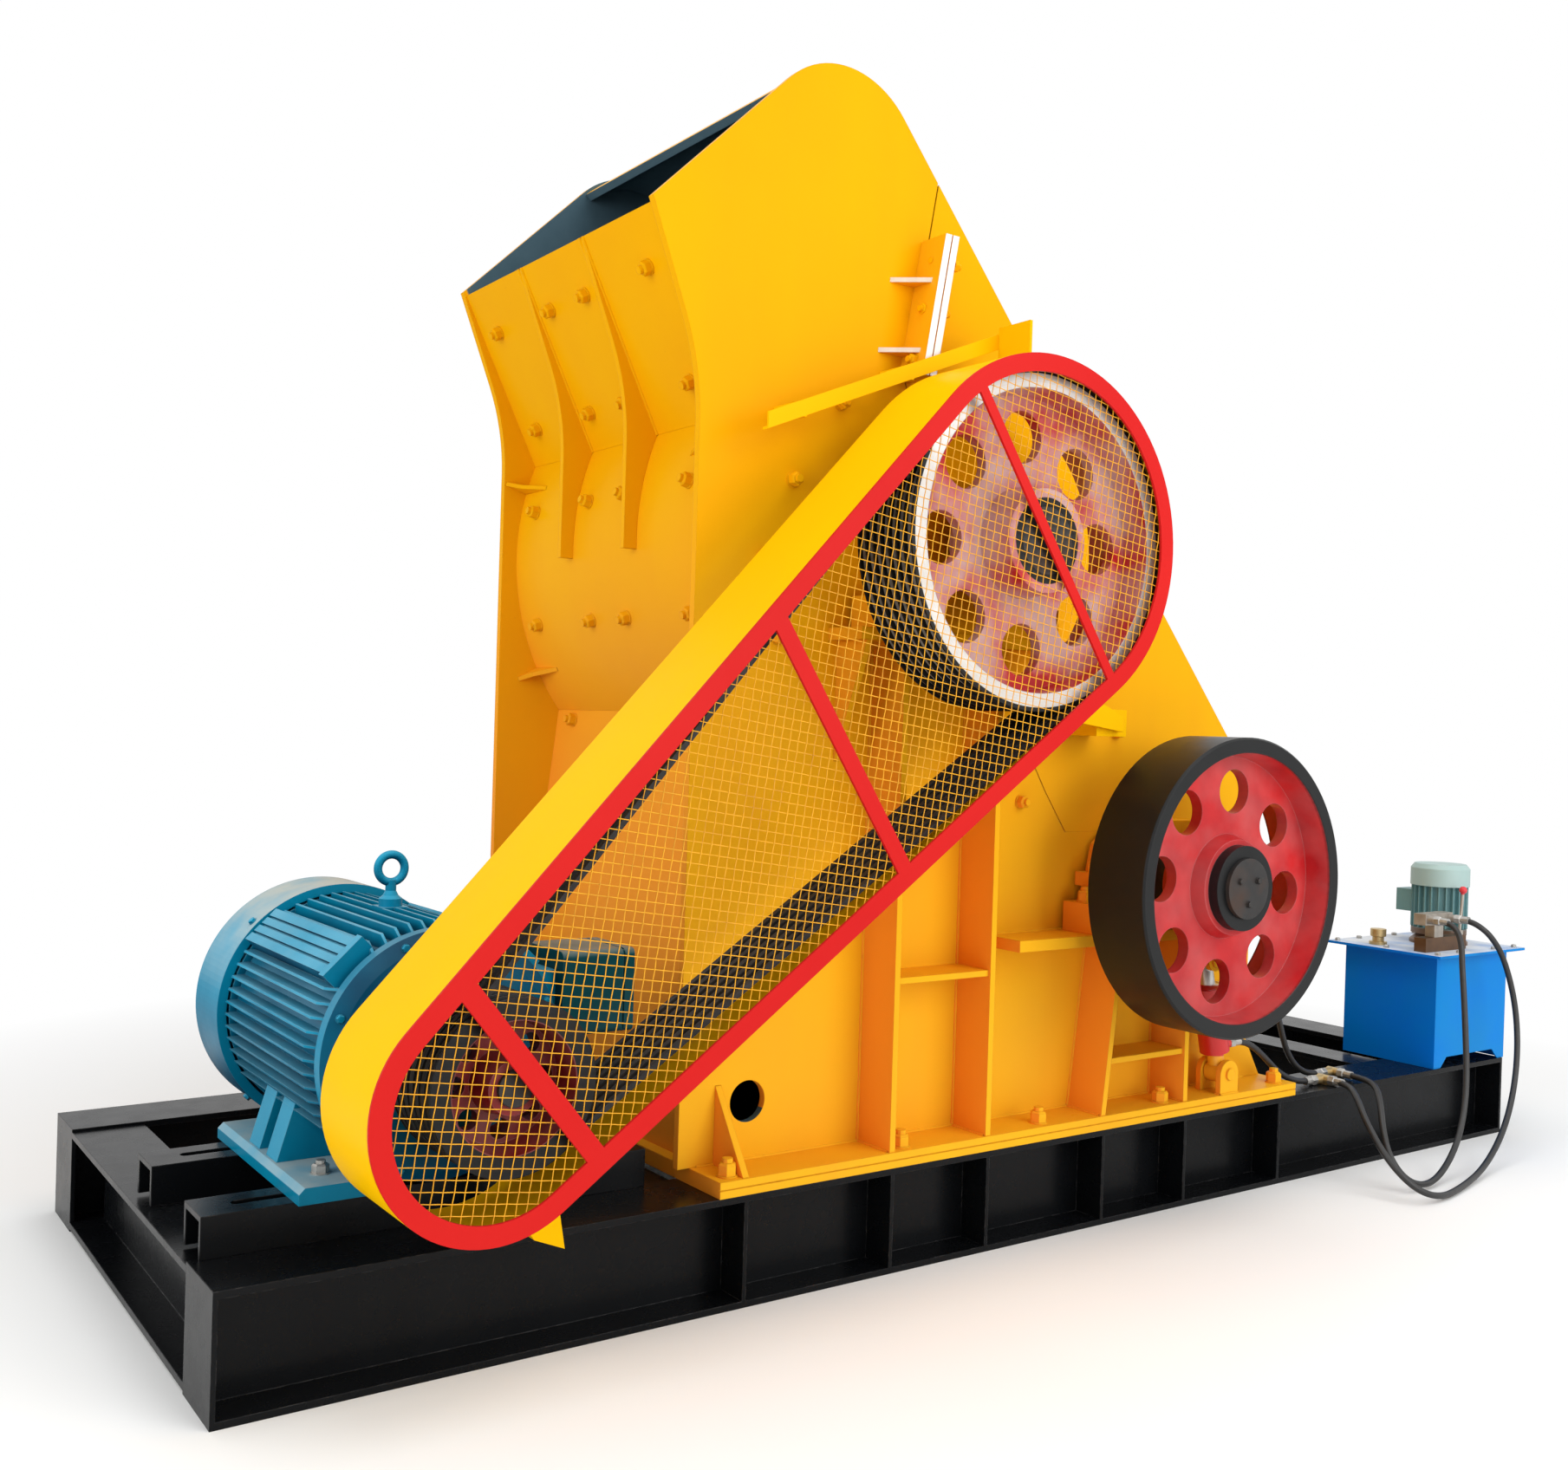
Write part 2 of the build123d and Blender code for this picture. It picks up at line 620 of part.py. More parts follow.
def stator():
    """The motor body: fins that lie flat at its sides and stand at its top and bottom, the ribbed shoulder
    pads, the foot ribs, the neck of the terminal box and the seat of the lifting eye."""
    y0, y1 = STATOR_Y
    face = disc(MOTOR, STATOR_RADIUS)
    for row in range(-FIN_ROWS, FIN_ROWS + 1):
        face += Pos(MOTOR[0], MOTOR[1] + row * FIN_PITCH) * Rectangle(2 * FIN_RADIUS + 20, FIN)
        face += Pos(MOTOR[0] + row * FIN_PITCH, MOTOR[1]) * Rectangle(FIN, 2 * FIN_RADIUS + 20)
    envelope = turned(MOTOR, (0, y0), (STATOR_RADIUS + 4, y0), (FIN_RADIUS, y0 + 50),
                      (FIN_RADIUS, y1), (0, y1))
    body = upright(face, y0, y1) & envelope
    body += rod(MOTOR, STATOR_RADIUS + 20, y1, y1 + 40)
    body += shoulder_pad(1) + shoulder_pad(-1)
    for depths in FOOT_RIB_Y:
        rib = upright(foot_rib_face(), *depths)
        body += rib + mirror(rib, about=Plane.YZ.offset(MOTOR[0]))
    body += block(MOTOR[0] + 200, TERMINAL_X[0], 210, 360, 770, 900)
    body += block(MOTOR[0] - 36, MOTOR[0] + 36, EYE_Y - 36, EYE_Y + 36, MOTOR[1], MOTOR[1] + FIN_RADIUS)
    return body


def drive_shield():
    """The bearing shield at the drive end."""
    y0, y1 = SHIELD_FRONT, STATOR_Y[0]
    return turned(MOTOR, (MOTOR_SHAFT + RUNNING_GAP, y0), (110, y0), (120, y0 + 10), (150, y0 + 30),
                  (270, y0 + 62), (305, y0 + 80), (305, y1), (MOTOR_SHAFT + RUNNING_GAP, y1))


def fan_cover():
    """The fan cover: a pressed cup with a rounded rim and a ring of slots in its end."""
    y0, y1 = STATOR_Y[1], FAN_END
    r = FAN_RADIUS
    cup = turned(MOTOR, (FIN_RADIUS - 4, y0), (r, y0), (r, y1 - 45), (r - 20, y1 - 14), (r - 50, y1), (0, y1),
                 (0, y1 - 12), (r - 56, y1 - 12), (r - 30, y1 - 26), (FIN_RADIUS - 4, y1 - 50))
    for circle in (90, 150, 210):
        for point in ring_of(round(circle / 15), circle, MOTOR):
            cup -= rod(point, 17, y1 - 20, y1 + 5)
    return cup


def motor_foot():
    """The sole of a foot, chamfered along its outer edge, with its two bolt holes."""
    left, right = FOOT_X
    foot = upright(outline((left, RAIL_TOP), (right, RAIL_TOP), (right, FOOT_TOP), (left + 14, FOOT_TOP),
                           (left, FOOT_TOP - 14)), 172, 850)
    for y in FOOT_BOLT_Y:
        foot -= Pos(left + 84, y, RAIL_TOP) * Cylinder(13, 100)
    return foot


def terminal_box():
    """The terminal box on the neck at the motor's right side, with its lid."""
    box = block(*TERMINAL_X, *TERMINAL_Y, *TERMINAL_Z)
    box = fillet(box.edges().filter_by(Axis.X), 18)
    lid_edge = block(TERMINAL_X[1] - 34, TERMINAL_X[1] - 28, TERMINAL_Y[0] - 1, TERMINAL_Y[1] + 1,
                     TERMINAL_Z[0] - 1, TERMINAL_Z[1] + 1)
    core = block(TERMINAL_X[1] - 34, TERMINAL_X[1] - 28, TERMINAL_Y[0] + 5, TERMINAL_Y[1] - 5,
                 TERMINAL_Z[0] + 5, TERMINAL_Z[1] - 5)
    return box - lid_edge + core


def eye_bolt():
    """The lifting eye on its collar on top of the motor."""
    foot = MOTOR[1] + FIN_RADIUS
    stem = upright_turned((MOTOR[0], EYE_Y), (0, foot), (30, foot), (30, foot + 20), (20, foot + 28),
                          (14, foot + 40), (14, foot + 68), (0, foot + 68))
    ring = Pos(MOTOR[0], EYE_Y, foot + 98) * Rot(90, 0, 0) * Torus(36, 11)
    return stem + ring


# Hydraulics
def oil_tank():
    """A folded oil tank with an open top, on skirts that are cut away between its corners."""
    wall = 5
    floor_z = 350
    tank = block(TANK_LEFT, TANK_RIGHT, TANK_FRONT, TANK_BACK, SKID_HEIGHT, TANK_TOP)
    inner = (TANK_LEFT + wall, TANK_RIGHT - wall, TANK_FRONT + wall, TANK_BACK - wall)
    tank -= block(*inner, floor_z, TANK_TOP) + block(*inner, SKID_HEIGHT, floor_z - wall)
    notch = outline((TANK_LEFT + 45, SKID_HEIGHT), (TANK_RIGHT - 45, SKID_HEIGHT),
                    (TANK_RIGHT - 85, SKID_HEIGHT + 40), (TANK_LEFT + 85, SKID_HEIGHT + 40))
    return tank - upright(notch, TANK_FRONT - 10, TANK_BACK + 10)


PUMP = (4885, 200)
LID = 10


def pump_motor():
    """The pump's upright motor on its bell: finned, with a terminal box behind and a fan cover on top."""
    lid_top = TANK_TOP + LID
    base = lid_top + 40
    bell = upright_turned(PUMP, (0, lid_top), (110, lid_top), (110, lid_top + 12), (80, base), (0, base))
    body = Circle(88)
    for step in range(24):
        body += Rot(0, 0, 15 * step) * Pos(95, 0) * Rectangle(24, 4)
    finned = Pos(PUMP[0], PUMP[1], base + 25) * extrude(body, amount=170)
    flange = upright_turned(PUMP, (0, base), (105, base), (105, base + 25), (0, base + 25))
    top = base + 195
    cover = upright_turned(PUMP, (0, top), (112, top), (112, top + 70), (98, top + 88), (0, top + 88))
    box = block(PUMP[0] - 45, PUMP[0] + 45, PUMP[1] + 85, PUMP[1] + 165, base + 80, base + 170)
    return bell + flange + finned + cover + box


VALVE_FRONT = 45
VALVE_BACK = 95
VALVE_PORTS = (4565, 4705)
PORT_Z = 872
MANIFOLD_TOP = 800
LEVER_X = 4801
LEVER_TILT = 6
FITTING = 16
FITTING_END = 20


def pump_valve():
    """The manifold on the lid, with the valve block over it, its hand lever and its two hose fittings."""
    x0, x1 = VALVE_PORTS
    middle = (x0 + x1) / 2
    standing = (Align.CENTER, Align.CENTER, Align.MIN)
    valve = block(x0 - 15, LEVER_X + 25, VALVE_FRONT, VALVE_BACK, TANK_TOP + LID, MANIFOLD_TOP)
    valve += block(middle - 30, middle + 30, VALVE_FRONT, VALVE_BACK - 10, MANIFOLD_TOP, PORT_Z)
    valve += block(x0 - 22, x1 + 22, VALVE_FRONT, VALVE_BACK, PORT_Z - 22, PORT_Z + 22)
    lever = Pos(LEVER_X, VALVE_FRONT + 15, MANIFOLD_TOP - 5) * Rot(0, LEVER_TILT, 0)
    valve += lever * Cylinder(14, 24, align=standing)
    valve += lever * Cylinder(6, 176, align=standing)
    valve += lever * Pos(0, 0, 182) * Sphere(15)
    for x in VALVE_PORTS:
        valve += rod((x, PORT_Z), FITTING, FITTING_END, VALVE_FRONT)
    return valve


def filler_cap():
    """The filler and breather cap on the tank's lid."""
    z = TANK_TOP + LID
    return upright_turned((4593, 280), (0, z), (34, z), (34, z + 12), (22, z + 12), (22, z + 30),
                          (30, z + 34), (30, z + 62), (0, z + 62))


# The lifting cylinders: base pin, top pin and the depth of their axis
BASE_PIN = (3352, 410)
TOP_PIN = (3262, 800)
CYLINDER_Y = 60
BARREL = 50
PORTS = ((95, 3405), (275, 3362))
LUG_DEPTHS = ((8, 28), (92, 112))


def along_cylinder(distance, aside=0):
    """A point at a distance from the base pin along the cylinder's axis, and to its right."""
    length = hypot(TOP_PIN[0] - BASE_PIN[0], TOP_PIN[1] - BASE_PIN[1])
    ux, uz = (TOP_PIN[0] - BASE_PIN[0]) / length, (TOP_PIN[1] - BASE_PIN[1]) / length
    return BASE_PIN[0] + ux * distance + uz * aside, BASE_PIN[1] + uz * distance - ux * aside


def port_z(distance):
    """Height of a cylinder port."""
    return along_cylinder(distance)[1]


def lift_cylinder():
    """A closed hydraulic cylinder: lower eye, barrel, gland, rod and upper eye, with its two ports."""
    length = hypot(TOP_PIN[0] - BASE_PIN[0], TOP_PIN[1] - BASE_PIN[1])
    lean = degrees(atan2(TOP_PIN[0] - BASE_PIN[0], TOP_PIN[1] - BASE_PIN[1]))
    profile = [(0, 30), (28, 30), (28, 74), (BARREL, 74), (BARREL, 270), (BARREL + 5, 270), (BARREL + 5, 305),
               (BARREL - 8, 305), (28, 312), (28, length - 25), (0, length - 25)]
    body = Pos(BASE_PIN[0], CYLINDER_Y, BASE_PIN[1]) * Rot(0, lean, 0) * upright_turned((0, 0), *profile)
    for pin, size in ((BASE_PIN, 36), (TOP_PIN, 36)):
        body += rod(pin, size, CYLINDER_Y - 28, CYLINDER_Y + 28)
        body -= rod(pin, 21, 0, 2 * CYLINDER_Y)
    for distance, end in PORTS:
        x, z = along_cylinder(distance)
        boss = Cylinder(FITTING, end - x, align=(Align.CENTER, Align.CENTER, Align.MIN))
        body += Pos(x, CYLINDER_Y, z) * Rot(0, 90, 0) * boss
    return body


def base_lugs():
    """The two round-topped lugs on the base flange, with their pin."""
    face = make_hull((disc(BASE_PIN, 46) + Pos(BASE_PIN[0], WALL_FOOT + 5) * Rectangle(92, 10)).edges())
    lugs = rod(BASE_PIN, 20, 0, 2 * CYLINDER_Y)
    for depths in LUG_DEPTHS:
        lugs += upright(face, *depths)
    return lugs


def top_lugs():
    """The two lugs under a plate on the wall, with their pin."""
    x, z = TOP_PIN
    plate_z = z + 45
    face = make_hull((disc(TOP_PIN, 34) + Pos(x, plate_z - 5) * Rectangle(90, 10)).edges())
    lugs = rod(TOP_PIN, 20, 0, 2 * CYLINDER_Y) + block(x - 55, x + 55, 8, WALL_FRONT, plate_z, plate_z + 15)
    for depths in LUG_DEPTHS:
        lugs += upright(face, *depths)
    return lugs


# The elbow unions that lie on the front beam, and the routes of the four hoses
UNIONS = ((4098, 100), (3958, 40))
UNION_Z = SKID_HEIGHT + FITTING + 2
UNION_ELBOW = 30
UNION_ARM = 45
UPPER_PORT = (PORTS[1][1], CYLINDER_Y, port_z(PORTS[1][0]))
LOWER_PORT = (PORTS[0][1], CYLINDER_Y, port_z(PORTS[0][0]))
HOSE_ROUTES = {
    "hose_pressure": [
        (VALVE_PORTS[0], FITTING_END, PORT_Z), (VALVE_PORTS[0], -30, PORT_Z), (4560, -75, 850),
        (4545, -105, 800), (4520, -125, 720), (4500, -150, 590), (4475, -182, 370), (4425, -212, 235),
        (4325, -248, 112), (4160, -290, 32), (4010, -318, 15), (3915, -302, 48), (3893, -252, 118),
        (3930, -200, 195), (4005, -138, 272), (4075, -70, 313), (4098, 15, UNION_Z),
        (*UNIONS[0], UNION_Z)],
    "hose_return": [
        (VALVE_PORTS[1], FITTING_END, PORT_Z), (VALVE_PORTS[1], -30, PORT_Z), (4718, -72, 855),
        (4755, -102, 815), (4808, -124, 735), (4848, -152, 570), (4827, -182, 400), (4735, -222, 238),
        (4590, -265, 108), (4370, -322, 26), (4120, -388, 13), (3930, -425, 16), (3820, -398, 55),
        (3788, -315, 135), (3812, -212, 238), (3888, -120, 302), (3958, -40, UNION_Z),
        (*UNIONS[1], UNION_Z)],
    "hose_upper_port": [
        (UNIONS[0][0] - UNION_ARM, UNIONS[0][1] + UNION_ELBOW, UNION_Z), (3970, 130, UNION_Z),
        (3885, 128, 352), (3815, 120, 415), (3765, 108, 490), (3720, 94, 565), (3655, 78, 635),
        (3565, 62, 674), (3465, *UPPER_PORT[1:]), UPPER_PORT],
    "hose_lower_port": [
        (UNIONS[1][0] - UNION_ARM, UNIONS[1][1] + UNION_ELBOW, UNION_Z), (3835, 70, UNION_Z),
        (3760, 69, 338), (3690, 67, 372), (3625, 64, 420), (3555, 62, 470),
        (3480, *LOWER_PORT[1:]), LOWER_PORT],
}


def hose_union(x, y):
    """An elbow union on the front beam: one hose comes from the front and one leaves to the left."""
    bend_y = y + UNION_ELBOW
    union = rod((x, UNION_Z), FITTING, y, bend_y + FITTING)
    arm = Cylinder(FITTING, UNION_ARM, align=(Align.CENTER, Align.CENTER, Align.MIN))
    union += Pos(x, bend_y, UNION_Z) * Rot(0, -90, 0) * arm
    return union + block(x - 10, x + 10, y + 5, y + 35, SKID_HEIGHT, UNION_Z)


def hose(points):
    """A hose as a tube of straight runs with tangent arcs, and the radii of those arcs."""
    corners = [Vector(*point) for point in points]
    runs = [corners[i + 1] - corners[i] for i in range(len(corners) - 1)]
    radii = []
    for before, after in zip(runs, runs[1:]):
        turn = radians(before.get_angle(after))
        radii.append(0.45 * min(before.length, after.length) / tan(turn / 2))
    path = FilletPolyline(*points, radius=radii)
    tube = sweep(Plane(path @ 0, z_dir=path % 0) * Circle(HOSE / 2), path=path)
    return tube, path.length, radii


parts = {}
parts["skid_front_beam"] = beam_along_x(0, (0, SKID_LENGTH), STIFFENER_X)
parts["skid_rear_beam"] = beam_along_x(SKID_WIDTH - BEAM_WIDTH, (0, SKID_LENGTH), STIFFENER_X)
parts["skid_end_beams"] = [beam_along_y(x, END_BEAM) for x in (0, SKID_LENGTH - END_BEAM)]
parts["skid_cross_beams"] = [beam_along_y(x, CROSS_BEAM) for x in CROSS_BEAM_X]
parts["motor_rails"] = [motor_rail(*depths) for depths in RAIL_DEPTHS]

base = block(BASE_LEFT, BASE_RIGHT, 0, BASE_DEPTH, SKID_HEIGHT, WALL_FOOT)
joint_line = block(BASE_LEFT, BASE_RIGHT, 0, 4, SKID_HEIGHT + SOLE - 1.5, SKID_HEIGHT + SOLE + 1.5)
parts["base_flanges"] = both_sides([base - joint_line])
end_y = (BASE_DEPTH, 2 * MID_Y - BASE_DEPTH)
parts["end_flanges"] = [block(BASE_LEFT, BASE_LEFT + 150, *end_y, SKID_HEIGHT, WALL_FOOT),
                        block(BASE_RIGHT - 150, BASE_RIGHT, *end_y, SKID_HEIGHT, WALL_FOOT)]

front_wall = upright(wall_face(), WALL_FRONT, INSIDE_FRONT)
parts["front_wall"] = front_wall - rod(PEEP_HOLE, PEEP_RADIUS, 0, 400)
parts["rear_wall"] = at_back(front_wall)
cover_wall = upright(cover_face(), WALL_FRONT, INSIDE_FRONT)
parts["cover_walls"] = both_sides([cover_wall])
inside = (INSIDE_FRONT, INSIDE_REAR)
parts["feed_plate"] = upright(feed_plate_face(), *inside)
bay = (INSIDE_REAR - INSIDE_FRONT) / 3
rib_y = [INSIDE_FRONT + bay * step for step in (1, 2)]
parts["feed_ribs"] = [upright(left_rib_face(), y - RIB / 2, y + RIB / 2) for y in rib_y]
parts["feed_ribs"] += both_sides([shell_gusset(angle) for angle in GUSSET_ANGLES])
parts["rotor_shell"] = upright(shell_face(), *inside)
parts["low_plate"] = upright(low_plate_face(), *inside)
parts["hood_plate"] = upright(hood_face(), *inside)
parts["cover_plate"] = upright(cover_plate_face(), *inside)
parts["end_plate"] = block(END_PLATE_X - PLATE, END_PLATE_X, *inside, WALL_FOOT, 700)

parts["wall_ribs"] = both_sides(wall_ribs())
shelves = [block(*UPPER_SHELF_X, 0, WALL_FRONT, UPPER_SHELF_Z - SHELF, UPPER_SHELF_Z),
           block(*LOWER_SHELF_X, 0, WALL_FRONT, LOWER_SHELF_Z - SHELF, LOWER_SHELF_Z)]
parts["bearing_shelves"] = both_sides(shelves)
parts["bearings"] = both_sides([bearing(UPPER, UPPER_SHELF_Z), bearing(LOWER, LOWER_SHELF_Z)])
parts["split_flanges"] = both_sides([
    split_flange((-24, 0)) + split_gusset(2640) + split_gusset(2850), split_flange((SPLIT_GAP, 28))])

upper_rotor, upper_hammers = rotor(UPPER, 390, UPPER_TIP, PULLEY_SHAFT_END)
lower_rotor, lower_hammers = rotor(LOWER, 310, LOWER_TIP, SHAFT_END)
parts["upper_rotor"] = upper_rotor
parts["upper_hammers"] = upper_hammers
parts["lower_rotor"] = lower_rotor
parts["lower_hammers"] = lower_hammers
parts["upper_pulley"] = grooved_pulley(UPPER, UPPER_PULLEY_RADIUS, 52, 300, 74, 145, SHAFT, -285, -40)
parts["upper_flywheel"] = at_back(flywheel(UPPER))
parts["lower_flywheels"] = both_sides([flywheel(LOWER)])
parts["drive_belts"] = drive_belts()
parts["motor_pulley"] = grooved_pulley(MOTOR, MOTOR_PULLEY_RADIUS, 50, 108, 24, 62, MOTOR_SHAFT, -262, 20)
parts["motor_shaft"] = rod(MOTOR, MOTOR_SHAFT, -272, STATOR_Y[0])

parts["guard_band"] = guard_band()
parts["guard_frame"] = guard_frame()
parts["guard_mesh"] = guard_mesh()
parts["guard_brackets"] = [guard_bar(), guard_clip()]

parts["motor_body"] = stator()
parts["motor_shield"] = drive_shield()
parts["fan_cover"] = fan_cover()
left_foot = motor_foot()
parts["motor_feet"] = [left_foot, mirror(left_foot, about=Plane.YZ.offset(MOTOR[0]))]
parts["motor_terminal_box"] = terminal_box()
parts["motor_eye_bolt"] = eye_bolt()

parts["oil_tank"] = oil_tank()
lid_y = (TANK_FRONT - 50, TANK_BACK + 50)
parts["tank_lid"] = block(TANK_LEFT - 60, LID_RIGHT, *lid_y, TANK_TOP, TANK_TOP + LID)
parts["pump_motor"] = pump_motor()
parts["pump_valve"] = pump_valve()
parts["filler_cap"] = filler_cap()
parts["cylinder_lugs"] = both_sides([base_lugs(), top_lugs()])
parts["lift_cylinders"] = both_sides([lift_cylinder()])
parts["hose_unions"] = [hose_union(*place) for place in UNIONS]

for name, route in HOSE_ROUTES.items():
    tube, length, radii = hose(route)
    parts[name] = tube
    section = pi * HOSE ** 2 / 4
    print(name, "length", round(length), "volume share", round(tube.volume / (section * length), 4),
          "radii", [round(radius) for radius in radii])

os.makedirs("parts", exist_ok=True)
for name, piece in parts.items():
    solids = list(piece) if isinstance(piece, list) else [piece]
    whole = Compound(children=solids) if len(solids) > 1 else solids[0]
    export_step(Pos(-MID_X, -MID_Y, 0) * whole, f"parts/{name}.step")
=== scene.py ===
"""Looks of a two-stage hammer crusher on its skid: paint, fasteners, wire mesh, belts and hydraulic hoses."""

import math

import bpy
from mathutils import Matrix, Vector


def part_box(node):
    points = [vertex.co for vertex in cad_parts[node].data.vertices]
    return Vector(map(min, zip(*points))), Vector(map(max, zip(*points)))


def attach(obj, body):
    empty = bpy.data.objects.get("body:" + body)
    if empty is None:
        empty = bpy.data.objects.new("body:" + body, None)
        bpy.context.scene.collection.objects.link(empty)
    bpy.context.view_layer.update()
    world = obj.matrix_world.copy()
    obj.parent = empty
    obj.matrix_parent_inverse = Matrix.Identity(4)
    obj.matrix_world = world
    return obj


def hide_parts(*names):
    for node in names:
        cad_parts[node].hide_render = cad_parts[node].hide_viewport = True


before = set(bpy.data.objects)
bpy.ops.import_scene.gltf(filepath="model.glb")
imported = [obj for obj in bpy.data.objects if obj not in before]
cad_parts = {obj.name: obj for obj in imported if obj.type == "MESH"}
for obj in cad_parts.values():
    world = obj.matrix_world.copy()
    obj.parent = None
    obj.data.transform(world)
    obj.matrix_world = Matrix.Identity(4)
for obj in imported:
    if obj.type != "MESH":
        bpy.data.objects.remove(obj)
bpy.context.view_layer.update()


# The viewpoint: a standing person's eye, in front of the motor's corner of the skid. Places in this
# file are in metres from the skid's front left corner on the floor: along it, back from it, and up.
skid_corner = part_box("skid_front_beam")[0]


def spot(x, y, z):
    """A point given along the skid, back from its front edge, and up from the floor."""
    return Vector((skid_corner.x + x, skid_corner.y + y, z))


IMAGE_WIDTH = 1809
FOCAL_PIXELS = 1778.3
SENSOR_WIDTH = 36.0
EYE = spot(-0.933, -3.3654, 1.55)
EYE_YAW, EYE_PITCH, EYE_ROLL = (math.radians(angle) for angle in (35.300, -0.377, 1.754))

forward = Vector((math.sin(EYE_YAW) * math.cos(EYE_PITCH), math.cos(EYE_YAW) * math.cos(EYE_PITCH),
                  math.sin(EYE_PITCH)))
level_right = Vector((math.cos(EYE_YAW), -math.sin(EYE_YAW), 0.0))
right = math.cos(EYE_ROLL) * level_right + math.sin(EYE_ROLL) * level_right.cross(forward)
camera_data = bpy.data.cameras.new("camera")
camera_data.sensor_width = SENSOR_WIDTH
camera_data.lens = SENSOR_WIDTH * FOCAL_PIXELS / IMAGE_WIDTH
camera = bpy.data.objects.new("camera", camera_data)
turned_to_view = Matrix((right, right.cross(forward), -forward)).transposed().to_4x4()
camera.matrix_world = Matrix.Translation(EYE) @ turned_to_view
scene = bpy.context.scene
scene.collection.objects.link(camera)
scene.camera = camera


# The studio: a pale floor, an even white surround, broad lamps from the front right and from above and a
# smaller one from the left, as soft as daylight in a tall hall.
class Wire:
    """A value in a node tree. Arithmetic on it adds Math nodes, and make() adds any other node."""

    def __init__(self, socket):
        self.socket = socket

    def make(self, kind, settings=(), inputs=(), output=0):
        """Adds a node: its settings come first, then the values or links of its sockets."""
        tree = self.socket.id_data
        node = tree.nodes.new(kind)
        for key, value in dict(settings).items():
            setattr(node, key, value)
        for key, value in dict(inputs).items():
            if isinstance(value, Wire):
                tree.links.new(value.socket, node.inputs[key])
            else:
                node.inputs[key].default_value = value
        return Wire(node.outputs[output])

    def math(self, operation, other=0.0, flip=False):
        """One Math node on this value and another."""
        first, second = (other, self) if flip else (self, other)
        return self.make("ShaderNodeMath", {"operation": operation}, {0: first, 1: second})

    def __add__(self, other):
        return self.math("ADD", other)

    __radd__ = __add__

    def __sub__(self, other):
        return self.math("SUBTRACT", other)

    def __rsub__(self, other):
        return self.math("SUBTRACT", other, flip=True)

    def __mul__(self, other):
        return self.math("MULTIPLY", other)

    __rmul__ = __mul__

    def part(self, axis):
        """One coordinate of a vector, 0 to 2."""
        return self.make("ShaderNodeSeparateXYZ", (), {0: self}, axis)

    def vector(self, operation, other=(0.0, 0.0, 0.0), output=0):
        """One Vector Math node on this vector and another."""
        return self.make("ShaderNodeVectorMath", {"operation": operation}, {0: self, 1: other}, output)

    def along(self, direction):
        """How far a vector points along another one."""
        return self.vector("DOT_PRODUCT", direction, "Value")

    def length(self):
        """How long a vector is."""
        return self.vector("LENGTH", output="Value")

    def noise(self, scale, detail=2.0, stretch=(1.0, 1.0, 1.0)):
        """Even noise from 0 to 1 at a point, stretched along the axes."""
        place = self.make("ShaderNodeMapping", {"vector_type": "POINT"}, {"Vector": self, "Scale": stretch})
        return self.make("ShaderNodeTexNoise", (), {"Vector": place, "Scale": scale, "Detail": detail})

    def ramp(self, low, high):
        """0 at low and 1 at high, and a straight line in between."""
        span = {"Value": self, "From Min": low, "From Max": high}
        return self.make("ShaderNodeMapRange", {"clamp": True}, span)

    def blend(self, first, second):
        """A colour between two, by this value."""
        colours = [colour if isinstance(colour, Wire) else (*colour, 1.0) for colour in (first, second)]
        return self.make("ShaderNodeMix", {"data_type": "RGBA"}, {0: self, 6: colours[0], 7: colours[1]}, 2)


WHITE = (1.0, 1.0, 1.0, 1.0)
SURROUND_LIGHT = 0.60
world = bpy.data.worlds.new("surround")
world.use_nodes = True
surround = world.node_tree.nodes["Background"]
surround.inputs["Color"].default_value = WHITE
surround.inputs["Strength"].default_value = SURROUND_LIGHT
ray = world.node_tree.nodes.new("ShaderNodeLightPath")
seen = Wire(ray.outputs["Is Camera Ray"])
for kind in ("Is Glossy Ray", "Is Transmission Ray"):
    seen = seen.math("MAXIMUM", Wire(ray.outputs[kind]))
white = seen.make("ShaderNodeBackground", (), {"Strength": 1.0, "Color": WHITE})
sky = seen.make("ShaderNodeMixShader", (), {0: seen, 1: Wire(surround.outputs[0]), 2: white})
world.node_tree.links.new(sky.socket, world.node_tree.nodes["World Output"].inputs["Surface"])
scene.world = world
scene.view_settings.view_transform = "Standard"

LAMPS = {"front_lamp": (spot(4.0, -6.5, 3.6), 6.0, 330.0), "left_lamp": (spot(-5.0, -1.0, 3.2), 4.0, 200.0),
         "top_lamp": (spot(2.4, -0.5, 7.5), 6.0, 190.0)}
LAMP_AIM = spot(2.4, 0.8, 1.2)
for name, (place, size, power) in LAMPS.items():
    lamp_data = bpy.data.lights.new(name, "AREA")
    lamp_data.size = size
    lamp_data.energy = power
    lamp = bpy.data.objects.new(name, lamp_data)
    lamp.location = place
    lamp.rotation_euler = (LAMP_AIM - place).to_track_quat("-Z", "Y").to_euler()
    scene.collection.objects.link(lamp)

